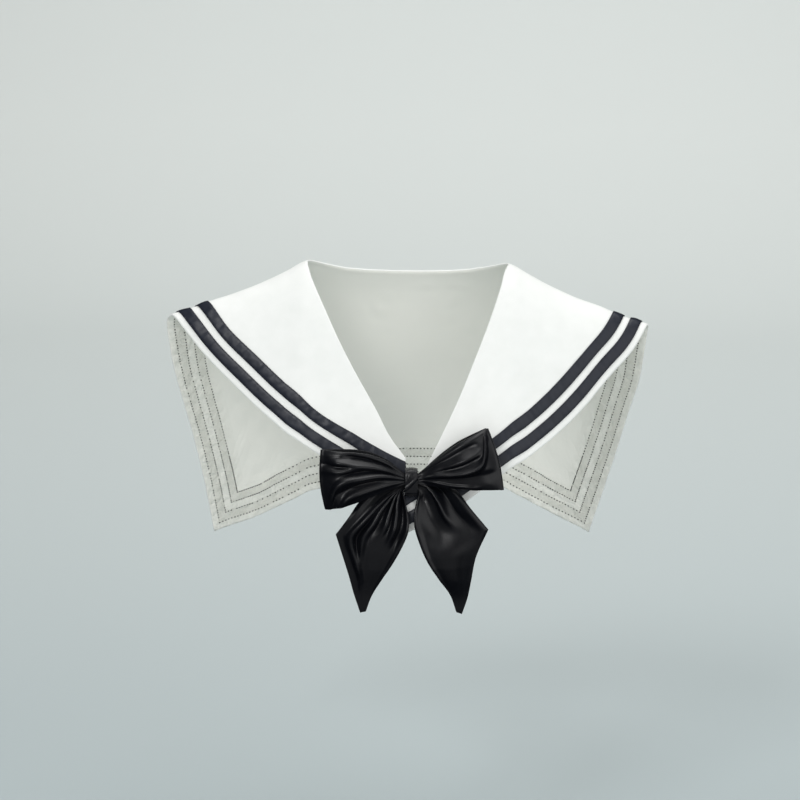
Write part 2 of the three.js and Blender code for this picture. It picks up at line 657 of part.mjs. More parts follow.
// A plain flat bar stands for the hidden pin that holds the bow on the lapped fronts
function pinGeometry() {
  const out = pinMiddle - knotMiddle;
  const face = (shift) =>
    [-0.5, 0.5].map((side) =>
      [-0.5, 0.5].map((end) => bowPoint(side * pinWidth, end * pinHeight - pinDrop, out + shift)),
    );
  const upper = face(pinWall / 2);
  const lower = face(-pinWall / 2);
  return shellGeometry(upper, lower);
}

const collar = new THREE.Group();
collar.name = "sailor_collar";
collar.add(
  ...collarMeshes(),
  namedMesh("bow_wing_left", wingGeometry(leftWingRows, wingPleats.left, wingEndBulge.left), bowSatin),
  namedMesh("bow_wing_right", wingGeometry(rightWingRows, wingPleats.right, wingEndBulge.right), bowSatin),
  namedMesh("bow_tail_left", tailGeometry(leftTailRows, tailPleats.left), bowSatin),
  namedMesh("bow_tail_right", tailGeometry(rightTailRows, tailPleats.right), bowSatin),
  namedMesh("bow_knot", knotGeometry(), bowSatin),
  namedMesh("bow_pin", pinGeometry(), pinSteel),
);

export default collar;
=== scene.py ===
"""Looks of a sailor collar: white cloth, two satin ribbons sewn along its edge, and a satin bow.

The cloth is a grid: its columns run from the outer edge to the neckline, on a surface that falls
from the line of the shoulders. Ribbons, stitches and bow stand on that surface.
"""

import logging
import math
from dataclasses import dataclass, field
from enum import Enum

import bpy
import numpy as np
from mathutils import Matrix, Vector


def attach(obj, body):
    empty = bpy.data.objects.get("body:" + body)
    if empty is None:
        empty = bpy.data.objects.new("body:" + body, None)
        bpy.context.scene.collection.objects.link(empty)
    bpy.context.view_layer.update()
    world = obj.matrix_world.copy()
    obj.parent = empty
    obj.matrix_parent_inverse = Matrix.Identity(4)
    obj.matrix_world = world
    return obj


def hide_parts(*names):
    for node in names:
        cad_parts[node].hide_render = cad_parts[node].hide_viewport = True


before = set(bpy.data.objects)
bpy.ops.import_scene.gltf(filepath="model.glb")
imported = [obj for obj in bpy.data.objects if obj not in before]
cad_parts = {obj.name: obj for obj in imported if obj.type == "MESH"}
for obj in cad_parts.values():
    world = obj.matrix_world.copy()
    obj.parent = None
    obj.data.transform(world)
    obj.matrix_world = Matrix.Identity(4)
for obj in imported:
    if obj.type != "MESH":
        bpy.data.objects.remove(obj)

logging.basicConfig(level=logging.INFO, format="%(message)s")
LOG = logging.getLogger("sailor_collar")

MM = 0.001
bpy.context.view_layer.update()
Array = np.ndarray
Table = tuple[tuple[float, ...], ...]
Piece = bpy.types.Object
Material = bpy.types.Material
Socket = bpy.types.NodeSocket
Palette = dict[str, Material]


class Layer(Enum):
    """The two sides of a wall of cloth."""

    FACE = 0
    UNDERSIDE = 1


class Side(Enum):
    """The side of the bow, as seen from the front, with the sign of its X."""

    LEFT = -1
    RIGHT = 1


# ---------------------------------------------------------------- curves and meshes


def smooth_rows(knots: Array, values: Array, at: Array) -> Array:
    """Reads a smooth curve through table rows, whose slope at a row is that of the line between its
    neighbours.

    Args:
        knots: the rows' places, rising.
        values: the value at each row.
        at: places to read, of any shape.

    Returns:
        The values there, in the shape of at.
    """
    below = np.clip(np.searchsorted(knots, at, side="left") - 1, 0, len(knots) - 2)
    order = np.arange(len(knots))
    before = np.maximum(order - 1, 0)
    after = np.minimum(order + 1, len(knots) - 1)
    slopes = (values[after] - values[before]) / (knots[after] - knots[before])
    span = knots[below + 1] - knots[below]
    u = (at - knots[below]) / span
    return (
        (2 * u**3 - 3 * u**2 + 1) * values[below]
        + (u**3 - 2 * u**2 + u) * span * slopes[below]
        + (3 * u**2 - 2 * u**3) * values[below + 1]
        + (u**3 - u**2) * span * slopes[below + 1]
    )


def read_table(rows: Table, at: Array) -> list[Array]:
    """Reads smooth curves through a table's later columns at places of its first one."""
    table = np.array(rows, dtype=float)
    return [smooth_rows(table[:, 0], column, at) for column in table[:, 1:].T]


def smooth_step(value: Array) -> Array:
    """Rises from 0 to 1 as value does, level at both ends: 3u^2 - 2u^3."""
    u = np.clip(value, 0.0, 1.0)
    return u * u * (3 - 2 * u)


def bell(away: Array, reach: float | Array) -> Array:
    """A bell curve of height 1: e to the power -(away / reach)^2."""
    return np.exp(-((away / reach) ** 2))


@dataclass(frozen=True)
class Wave:
    """Soft wrinkles: a sum of sine waves in seeded directions and lengths, in millimetres."""

    height: float
    pitch: float
    seed: int
    count: int = 7
    lengths: tuple[float, float] = (0.65, 1.6)

    def read(self, u: Array, v: Array) -> Array:
        """Heights at places along (u) and across (v) the cloth, in millimetres."""
        dice = np.random.default_rng(self.seed)
        angles = dice.uniform(0, math.pi, self.count)
        lengths = self.pitch * dice.uniform(*self.lengths, self.count)
        phases = dice.uniform(0, 2 * math.pi, self.count)
        total = np.zeros(np.broadcast(u, v).shape)
        for angle, length, phase in zip(angles, lengths, phases):
            turn = 2 * math.pi / length
            total += np.sin(turn * (u * math.cos(angle) + v * math.sin(angle)) + phase)
        return self.height * (total / math.sqrt(self.count))


def blurred(rows: Array, reach: float) -> Array:
    """Smooths rows with a bell-shaped mean whose half width is reach rows."""
    span = max(1, round(3 * reach))
    weights = np.exp(-((np.arange(-span, span + 1) / reach) ** 2) / 2)
    weights /= weights.sum()
    padded = np.pad(rows, ((span, span), (0, 0)), mode="edge")
    return np.stack([np.convolve(column, weights, "valid") for column in padded.T], axis=1)


def joined(parts: list[Array]) -> Array:
    """Parts of an outline end to end; each starts at the last row of the one before."""
    return np.concatenate([parts[0], *(part[1:] for part in parts[1:])])


def walked_along(places: Array) -> Array:
    """Length along a line of places, up to each of them."""
    return np.concatenate([[0], np.cumsum(np.linalg.norm(np.diff(places, axis=0), axis=1))])


def grid_normals(points: Array) -> Array:
    """Unit normals of a grid of points: the cross product of its two directions."""
    cross = np.cross(np.gradient(points, axis=0), np.gradient(points, axis=1))
    return cross / np.linalg.norm(cross, axis=-1, keepdims=True)


def quads_of_grid(columns: int, rows: int, closed: bool = False) -> Array:
    """Quads of a grid whose points are numbered column by column.

    Args:
        columns: count of columns.
        rows: count of points in a column.
        closed: whether it closes on itself in both directions.

    Returns:
        Array of quads and 4 corner numbers.
    """
    number = np.arange(columns * rows).reshape(columns, rows)
    if closed:
        number = np.pad(number, ((0, 1), (0, 1)), mode="wrap")
    corners = [number[:-1, :-1], number[1:, :-1], number[1:, 1:], number[:-1, 1:]]
    return np.stack(corners, axis=-1).reshape(-1, 4)


def new_piece(name: str, points: Array, faces: Array) -> Piece:
    """Puts points in millimetres and their faces into a new smooth object at the origin."""
    mesh = bpy.data.meshes.new(name)
    mesh.from_pydata((points * MM).tolist(), [], faces.tolist())
    mesh.polygons.foreach_set("use_smooth", np.ones(len(mesh.polygons), dtype=bool))
    mesh.update()
    piece = bpy.data.objects.new(name, mesh)
    bpy.context.scene.collection.objects.link(piece)
    return piece


def closed_piece(name: str, points: Array, faces: Array, uv: Array) -> Piece:
    """A closed body with its faces turned outward and the UV map "cloth" in metres.

    Args:
        name: the piece's name.
        points: array of points and 3, in millimetres.
        faces: array of quads and 4 corner numbers.
        uv: pattern place of each point, in millimetres.

    Returns:
        The new object.
    """
    first, second, third, fourth = points[faces].transpose(1, 0, 2)
    volume = np.einsum("ij,ij->", first, np.cross(second, third) + np.cross(third, fourth))
    if volume < 0:
        faces = faces[:, ::-1]
    piece = new_piece(name, points, faces)
    places = uv[faces.reshape(-1)] * MM
    uv_map = piece.data.uv_layers.new(name="cloth")
    uv_map.data.foreach_set("uv", places.astype(np.float32).reshape(-1))
    return piece


def shell_piece(name: str, face: Array, underside: Array, uv: Array) -> Piece:
    """A closed wall between two grids of points, joined round their borders. Its material index is
    the number of the layer, and the border counts as face.

    Args:
        name: the piece's name.
        face: grid of points of the outer side.
        underside: grid of points of the inner side.
        uv: grid of pattern places, in millimetres.

    Returns:
        The new object.
    """
    columns, rows = face.shape[:2]
    count = columns * rows
    quads = quads_of_grid(columns, rows)
    number = np.arange(count).reshape(columns, rows)
    border = np.concatenate([number[:-1, 0], number[-1, :-1], number[:0:-1, -1], number[0, :0:-1]])
    onward = np.roll(border, -1)
    rim = np.stack([border, border + count, onward + count, onward], axis=1)
    faces = np.concatenate([quads, quads[:, ::-1] + count, rim])
    points = np.concatenate([face.reshape(-1, 3), underside.reshape(-1, 3)])
    piece = closed_piece(name, points, faces, np.tile(uv.reshape(-1, 2), (2, 1)))
    layer = np.zeros(len(faces), dtype=np.int32)
    layer[len(quads) : 2 * len(quads)] = Layer.UNDERSIDE.value
    piece.data.polygons.foreach_set("material_index", layer)
    return piece


def declare(piece: Piece, node: str | None, slot: str, *materials: Material) -> None:
    """Gives a piece its materials, hangs it on the root body and hides the CAD node it replaces.

    Args:
        piece: the piece.
        node: the CAD node that it replaces, if any.
        slot: not used.
        materials: the material of each layer.
    """
    for material in materials:
        piece.data.materials.append(material)
    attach(piece, "root")
    if node:
        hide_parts(node)
    LOG.info("%s: %d faces", piece.name, len(piece.data.polygons))


# ---------------------------------------------------------------- finishes


def linear(code: str) -> tuple[float, float, float, float]:
    """Turns an sRGB hex colour into the linear one that a shader takes."""
    parts = [int(code[i : i + 2], 16) / 255 for i in (0, 2, 4)]
    bent = [c / 12.92 if c <= 0.04045 else ((c + 0.055) / 1.055) ** 2.4 for c in parts]
    return (*bent, 1.0)


def add_node(
    tree: bpy.types.NodeTree, kind: str, inputs: dict[str | int, object], **settings: object
) -> bpy.types.Node:
    """Adds a node to a material or world.

    Args:
        tree: the nodes that it joins.
        kind: its type, without ShaderNode in front.
        inputs: for each input, by name or number, its value or the socket that feeds it.
        settings: its own properties.

    Returns:
        The new node.
    """
    node = tree.nodes.new("ShaderNode" + kind)
    for name, value in settings.items():
        setattr(node, name, value)
    for key, value in inputs.items():
        if isinstance(value, Socket):
            tree.links.new(value, node.inputs[key])
        else:
            node.inputs[key].default_value = value
    return node


@dataclass
class Recipe:
    """The nodes of one material. Most methods add one node and return the socket with its
    result."""

    name: str

    def __post_init__(self) -> None:
        """Starts the material."""
        self.material = bpy.data.materials.new(self.name)
        self.material.use_nodes = True
        self.tree = self.material.node_tree
        self.shader = self.tree.nodes["Principled BSDF"]

    def add(
        self, kind: str, inputs: dict[str | int, object], output: str | int = 0, **settings: object
    ) -> Socket:
        """Adds a node, as add_node does, and returns one output."""
        return add_node(self.tree, kind, inputs, **settings).outputs[output]

    def room_place(self) -> Socket:
        """Place in the part's own frame, in metres."""
        return self.add("TexCoord", {}, "Object")

    def cloth_place(self) -> Socket:
        """Place on the piece's pattern, in metres."""
        return self.add("UVMap", {}, uv_map="cloth")

    def noise(
        self, place: Socket, scale: float, detail: float = 3.0, distortion: float = 0.0, **kind: str
    ) -> Socket:
        """Cloudy noise of about 0 to 1, with scale clouds to a metre."""
        inputs = {"Vector": place, "Scale": scale, "Detail": detail, "Distortion": distortion}
        return self.add("TexNoise", inputs, **kind)

    def remap(
        self, value: Socket, start: float, end: float, low: float = 0.0, high: float = 1.0
    ) -> Socket:
        """Leads a value that goes from start to end from low to high, and no further."""
        inputs = {"Value": value, "From Min": start, "From Max": end, "To Min": low, "To Max": high}
        return self.add("MapRange", inputs)

    def product(self, *sockets: Socket) -> Socket:
        """The product of two values."""
        return self.add("Math", dict(enumerate(sockets)), operation="MULTIPLY")

    def blend(self, factor: Socket, first: str | Socket, second: str) -> Socket:
        """Blends from the first colour to the second one, each a hex code or a socket."""
        start = linear(first) if isinstance(first, str) else first
        inputs = {"Factor": factor, 6: start, 7: linear(second)}
        return self.add("Mix", inputs, 2, data_type="RGBA")

    def bump(self, height: Socket, strength: float, depth: float) -> None:
        """Feeds the shader's normal from a height that is depth millimetres at its full."""
        inputs = {"Height": height, "Strength": strength, "Distance": depth * MM}
        self.tree.links.new(self.add("Bump", inputs), self.shader.inputs["Normal"])

    def finish(self, values: dict[str, object]) -> Material:
        """Sets or feeds the shader's other inputs, by name, and returns the material."""
        for name, value in values.items():
            if isinstance(value, Socket):
                self.tree.links.new(value, self.shader.inputs[name])
            else:
                self.shader.inputs[name].default_value = value
        return self.material


@dataclass(frozen=True)
class Shirting:
    """Bleached polyester and cotton plain weave: matt, with threads too fine to see singly. The
    weave is drawn at 1.2 mm, about three times as coarse as it is, so that it still shows."""

    colour: str = "F0F1EF"
    slub: str = "E7E9E6"
    slub_scale: float = 70.0
    weave: float = 1.2
    weave_depth: float = 0.05
    unevenness: float = 0.35
    roughness: float = 0.88
    sheen: float = 0.15
    specular: float = 0.25

    def build(self) -> Material:
        """Makes the material of the collar's outer side."""
        recipe = Recipe("white_shirting")
        place = recipe.room_place()
        tone = recipe.blend(recipe.noise(place, self.slub_scale), self.colour, self.slub)
        inputs = {"Vector": place, "Scale": 1 / (self.weave * MM), "Randomness": self.unevenness}
        recipe.bump(recipe.add("TexVoronoi", inputs, "Distance"), 0.25, self.weave_depth)
        return recipe.finish(
            {
                "Base Color": tone,
                "Roughness": self.roughness,
                "Sheen Weight": self.sheen,
                "Specular IOR Level": self.specular,
            }
        )


@dataclass(frozen=True)
class ShirtingUnderside:
    """The same shirting from inside. Painted shade: the dark ribbons on the other side, seen
    through the thin cloth, are painted as two greyer stripes; and the trim along the edge is
    crinkled, with painted shade in its crinkles."""

    colour: str = "F2F1EA"
    # Colour of the painted shade of the ribbons, seen through the cloth.
    band: str = "E2E1D9"
    shade: str = "BDBDB3"
    ribbon_shade_bands: Table = ((6.6, 17.8), (24.8, 36.0))
    soft: float = 0.5
    trim: tuple[float, float] = (28.0, 48.0)
    uneven_scale: float = 160.0
    uneven_span: tuple[float, float, float, float] = (0.3, 0.7, 0.7, 1.0)
    # How far the painted shade in the trim's crinkles darkens it towards the shade colour.
    crinkle_shade: float = 0.24
    crinkle_shade_span: tuple[float, float] = (0.35, 0.65)
    crinkle: float = 1.4
    crinkle_scale: float = 130.0
    crease_scale: float = 38.0
    crease_depth: float = 2.2
    roughness: float = 0.9
    specular: float = 0.2

    def build(self) -> Material:
        """Makes the material of the collar's inner side."""
        recipe = Recipe("white_shirting_underside")
        spot = recipe.cloth_place()
        inward = recipe.add("SeparateXYZ", {0: spot}, "Y")
        # Painted shade of the two ribbons, seen through the cloth, between their distances from the
        # edge.
        ribbon_shade_masks = [self._mask(recipe, inward, *band) for band in self.ribbon_shade_bands]
        ribbon_shade_mask = recipe.add("Math", dict(enumerate(ribbon_shade_masks)), operation="ADD", use_clamp=True)
        uneven = recipe.remap(recipe.noise(spot, self.uneven_scale, 4.0), *self.uneven_span)
        tone = recipe.blend(recipe.product(ribbon_shade_mask, uneven), self.colour, self.band)
        place = recipe.room_place()
        crease = recipe.noise(place, self.crease_scale, noise_type="RIDGED_MULTIFRACTAL")
        crinkle = recipe.noise(place, self.crinkle_scale, distortion=0.6)
        trim = recipe.remap(inward, self.trim[0] * MM, self.trim[1] * MM, 1.0, 0.0)
        # Painted shade: the trim darkens towards the shade colour with the crinkle noise that also
        # drives the bump.
        crinkle_shade = recipe.product(recipe.remap(crinkle, *self.crinkle_shade_span, 0.0, self.crinkle_shade), trim)
        drawn = recipe.product(crinkle, trim)
        inputs = {0: drawn, 1: self.crinkle, 2: crease}
        recipe.bump(recipe.add("Math", inputs, operation="MULTIPLY_ADD"), 0.8, self.crease_depth)
        return recipe.finish(
            {
                "Base Color": recipe.blend(crinkle_shade, tone, self.shade),
                "Roughness": self.roughness,
                "Specular IOR Level": self.specular,
            }
        )

    def _mask(self, recipe: Recipe, inward: Socket, low: float, high: float) -> Socket:
        """A soft-edged band that is 1 between two distances from the outer edge, in millimetres."""
        soft = self.soft
        rise = recipe.remap(inward, (low - soft) * MM, (low + soft) * MM)
        fall = recipe.remap(inward, (high - soft) * MM, (high + soft) * MM, 1.0, 0.0)
        return recipe.product(rise, fall)


@dataclass(frozen=True)
class Satin:
    """Polyester satin: long floating threads give a soft broad gloss. Faint ripples run with the
    threads, 2 pi times the ripple's size apart in millimetres, so much coarser than they are."""

    name: str
    colour: str
    tint: str
    roughness: float
    specular: float
    ripple: float = 0.9
    ripple_depth: float = 0.05
    bump: float = 0.25
    cloud_scale: float = 120.0
    unevenness: tuple[float, float] = (-0.06, 0.08)

    def build(self) -> Material:
        """Makes the satin, with its ripples across the strip's own UV map."""
        recipe = Recipe(self.name)
        spot = recipe.cloth_place()
        cloud = recipe.noise(spot, self.cloud_scale)
        # The wave texture turns by twenty radians to a metre at scale 1.
        scale = 1 / (self.ripple * MM) / 20
        inputs = {"Vector": spot, "Scale": scale, "Distortion": 1.5, "Detail": 2.0}
        ripples = recipe.add("TexWave", inputs, 1, bands_direction="Y")
        recipe.bump(ripples, self.bump, self.ripple_depth)
        low, high = (self.roughness + change for change in self.unevenness)
        rough = recipe.remap(cloud, 0.0, 1.0, low, high)
        return recipe.finish(
            {
                "Base Color": recipe.blend(cloud, self.colour, self.tint),
                "Roughness": rough,
                "Specular IOR Level": self.specular,
            }
        )


@dataclass(frozen=True)
class Paper:
    """Seamless studio paper with painted shade, lighter further back. The places are in metres."""

    near: str = "B0BABC"
    far: str = "DEE2E0"
    near_place: float = 0.0
    far_place: float = 3.0

    def build(self) -> Material:
        """Makes the paper, with its painted shade by the distance behind the collar."""
        recipe = Recipe("studio_paper")
        behind = recipe.add("SeparateXYZ", {0: recipe.room_place()}, "Y")
        share = recipe.remap(behind, self.near_place, self.far_place)
        tone = recipe.blend(share, self.near, self.far)
        return recipe.finish({"Base Color": tone, "Roughness": 0.95, "Specular IOR Level": 0.1})


@dataclass(frozen=True)
class Plain:
    """A plain finish of one colour with a fine grain, for thread and steel."""

    name: str
    colour: str
    roughness: float
    metallic: float = 0.0
    grain: float = 900.0
    grain_depth: float = 0.02

    def build(self) -> Material:
        """Makes the material."""
        recipe = Recipe(self.name)
        recipe.bump(recipe.noise(recipe.room_place(), self.grain, 2.0), 0.2, self.grain_depth)
        colour = linear(self.colour)
        return recipe.finish(
            {"Base Color": colour, "Roughness": self.roughness, "Metallic": self.metallic}
        )


# ---------------------------------------------------------------- the surface that it lies on

# Along half of the shoulder line: share of it, height and sag, in millimetres.
RIDGE_ROWS = (
    (0, 8, 0),
    (0.25, 6, 0),
    (0.42, 0, 0.1),
    (0.5, -9.5, 0.2),
    (0.61, -21.5, 0.45),
    (0.72, -31.5, 0.75),
    (0.81, -38, 1.05),
    (0.9, -45.5, 1.35),
    (1, -54, 1.1),
)


@dataclass
class Drape:
    """The surface on which the collar lies, as a function of two lengths in millimetres: across,
    the sideways place, and along, the length of cloth from the line of the shoulders, negative at
    the front and positive at the back. A turn is the cloth's last angle below the shoulders, in
    degrees, and the length in which it gets there."""

    shoulder_half: float = 240.0
    back_length: float = 300.0
    sag: tuple[float, float] = (3.0, 5.0)
    sag_reach: float = 45.0
    front_turns: Table = ((66.0, 24.0), (67.0, 8.0))
    back_turns: Table = ((87.0, 70.0), (81.0, 9.0))
    front_power: float = 2.0
    back_power: float = 3.5
    fold_start: float = 110.0
    fold_depth: float = 3.5
    fold_pitch: float = 150.0
    steps: int = 48

    def points(self, across: Array, along: Array) -> Array:
        """Points of the surface. The cloth leaves the shoulder line level and turns down by angle x
        (1 - exp(-length / bend)); its run and drop are the sums of that angle's cosine and sine.
        The turn goes from the first one, in the middle, to the second one at the ends. The back
        panel swings in soft folds, and the shoulder line sags towards its ends.

        Args:
            across: sideways places.
            along: lengths of cloth from the shoulder line, in the same shape.

        Returns:
            Array of that shape and 3, in millimetres.
        """
        share = np.abs(across) / self.shoulder_half
        is_back = along > 0
        blend = np.minimum(1.0, share ** np.where(is_back, self.back_power, self.front_power))
        step = np.abs(along) / self.steps
        run = np.zeros(along.shape)
        drop = np.zeros(along.shape)
        for i in range(self.steps):
            place = (i + 0.5) * step
            inner, outer = (
                np.where(is_back, self._turned(back, place), self._turned(front, place))
                for back, front in zip(self.back_turns, self.front_turns)
            )
            angle = np.radians(inner + (outer - inner) * blend)
            run += np.cos(angle) * step
            drop += np.sin(angle) * step
        free = np.maximum(0.0, along - self.fold_start) / (self.back_length - self.fold_start)
        fold = self.fold_depth * free**2 * np.cos(2 * math.pi * across / self.fold_pitch)
        height, sag = read_table(RIDGE_ROWS, np.minimum(1.05, share))
        height = height - sag * np.where(across < 0, *self.sag) * bell(along, self.sag_reach)
        return np.stack([across, np.where(is_back, run + fold, -run), height - drop], axis=-1)

    def _turned(self, turn: tuple[float, float], place: Array) -> Array:
        """Angle of the cloth, in degrees, at a length from the shoulder line."""
        angle, bend = turn
        return angle * (1 - np.exp(-place / bend))

    def directions(self, across: Array, along: Array) -> tuple[Array, ...]:
        """Slopes of the surface by across and by along, from points half a millimetre to each side,
        and the outward unit normal."""
        reach = 0.5
        by_across = self.points(across + reach, along) - self.points(across - reach, along)
        by_along = self.points(across, along + reach) - self.points(across, along - reach)
        normal = np.cross(by_across, by_along)
        normal /= np.linalg.norm(normal, axis=-1, keepdims=True)
        return by_across / (2 * reach), by_along / (2 * reach), normal


@dataclass
class Leg:
    """One leg of the collar's outline: a smooth curve through rows of (share of the leg, edge
    across, edge along, neck across, neck along), with lengths as shares of named sizes."""

    rows: Table
    scale: tuple[float, float, float, float]
    from_end: bool = False
    samples: int = 400

    def places(self, shares: Array) -> Array:
        """Edge and neck places at shares of the leg, as an array of shares and 4."""
        read = read_table(self.rows, shares)
        return np.stack([column * size for column, size in zip(read, self.scale)], axis=-1)

    def spaced(self, step: float) -> Array:
        """Edge and neck places about step apart along the edge, in the collar's order."""
        shares = np.linspace(0, 1, self.samples)
        walked = walked_along(self.places(shares)[:, :2])
        count = max(2, round(walked[-1] / step))
        places = self.places(np.interp(np.linspace(0, walked[-1], count + 1), walked, shares))
        return places[::-1] if self.from_end else places


# Rows of the legs, with the columns that Leg names.
LEFT_FRONT_ROWS = (
    (0, 0.986, 0, 1, 0),
    (0.04, 0.956, 0.045, 0.997, 0.015),
    (0.08, 0.926, 0.092, 0.99, 0.036),
    (0.2, 0.833, 0.236, 0.94, 0.11),
    (0.35, 0.698, 0.403, 0.82, 0.227),
    (0.5, 0.564, 0.568, 0.67, 0.361),
    (0.65, 0.423, 0.732, 0.5, 0.492),
    (0.8, 0.246, 0.862, 0.29, 0.638),
    (0.9, 0.117, 0.936, 0.16, 0.735),
    (1, -0.017, 1, -0.005, 0.823),
)
RIGHT_FRONT_ROWS = (
    (0, 1.006, 0, 1, 0),
    (0.04, 0.982, 0.055, 0.987, 0.02),
    (0.08, 0.955, 0.112, 0.97, 0.042),
    (0.13, 0.92, 0.175, 0.95, 0.07),
    (0.2, 0.858, 0.267, 0.92, 0.127),
    (0.35, 0.726, 0.457, 0.81, 0.273),
    (0.5, 0.579, 0.644, 0.66, 0.438),
    (0.65, 0.423, 0.82, 0.5, 0.6),
    (0.8, 0.24, 0.977, 0.29, 0.781),
    (0.9, 0.1, 1.058, 0.13, 0.9),
    (1, -0.046, 1.13, -0.09, 0.982),
)
LEFT_SIDE_ROWS = (
    (0, 0.986, 0, 1, 0),
    (0.03, 1.006, 0.025, 1, 0.03),
    (0.06, 1.012, 0.055, 0.998, 0.06),
    (0.12, 1.008, 0.115, 0.995, 0.12),
    (0.27, 0.984, 0.262, 0.98, 0.25),
    (0.42, 0.952, 0.408, 0.94, 0.4),
    (0.59, 0.916, 0.572, 0.87, 0.57),
    (0.8, 0.876, 0.78, 0.76, 0.73),
    (1, 0.845, 0.97, 0.62, 0.86),
)
RIGHT_SIDE_ROWS = (
    (0, 1.006, 0, 1, 0),
    (0.03, 1.013, 0.025, 1, 0.03),
    (0.06, 1.012, 0.055, 0.998, 0.06),
    (0.12, 1.008, 0.115, 0.995, 0.12),
    (0.27, 0.99, 0.262, 0.98, 0.25),
    (0.42, 0.956, 0.408, 0.94, 0.4),
    (0.59, 0.92, 0.572, 0.87, 0.57),
    (0.8, 0.87, 0.78, 0.76, 0.73),
    (1, 0.82, 0.97, 0.62, 0.86),
)
HEM_ROWS = (
    (0, -0.845, 0.97, -0.62, 0.86),
    (0.12, -0.635, 1.025, -0.46, 0.93),
    (0.3, -0.33, 1.04, -0.24, 0.98),
    (0.5, 0, 1.03, 0, 1),
    (0.7, 0.33, 1.015, 0.24, 0.98),
    (0.88, 0.625, 0.997, 0.46, 0.93),
    (1, 0.82, 0.97, 0.62, 0.86),
)


@dataclass(frozen=True)
class Columns:
    """Columns of the collar's grid: the places of edge and neckline, the length walked along the
    edge, the step inward with its lean, the share of the trim that fits, the lift over the other
    front, and how far the cloth hangs free."""

    edge: Array
    neck: Array
    walked: Array
    inward: Array
    fit: Array
    lift: Array
    slack: Array


@dataclass(frozen=True)
class Patch:
    """A grid of places on the cloth, with their distances from the outer edge."""

    columns: Columns
    places: Array
    distance: Array

    @property
    def walked(self) -> Array:
        """Length along the outer edge, over the whole grid."""
        return np.broadcast_to(self.columns.walked[:, None], self.distance.shape)


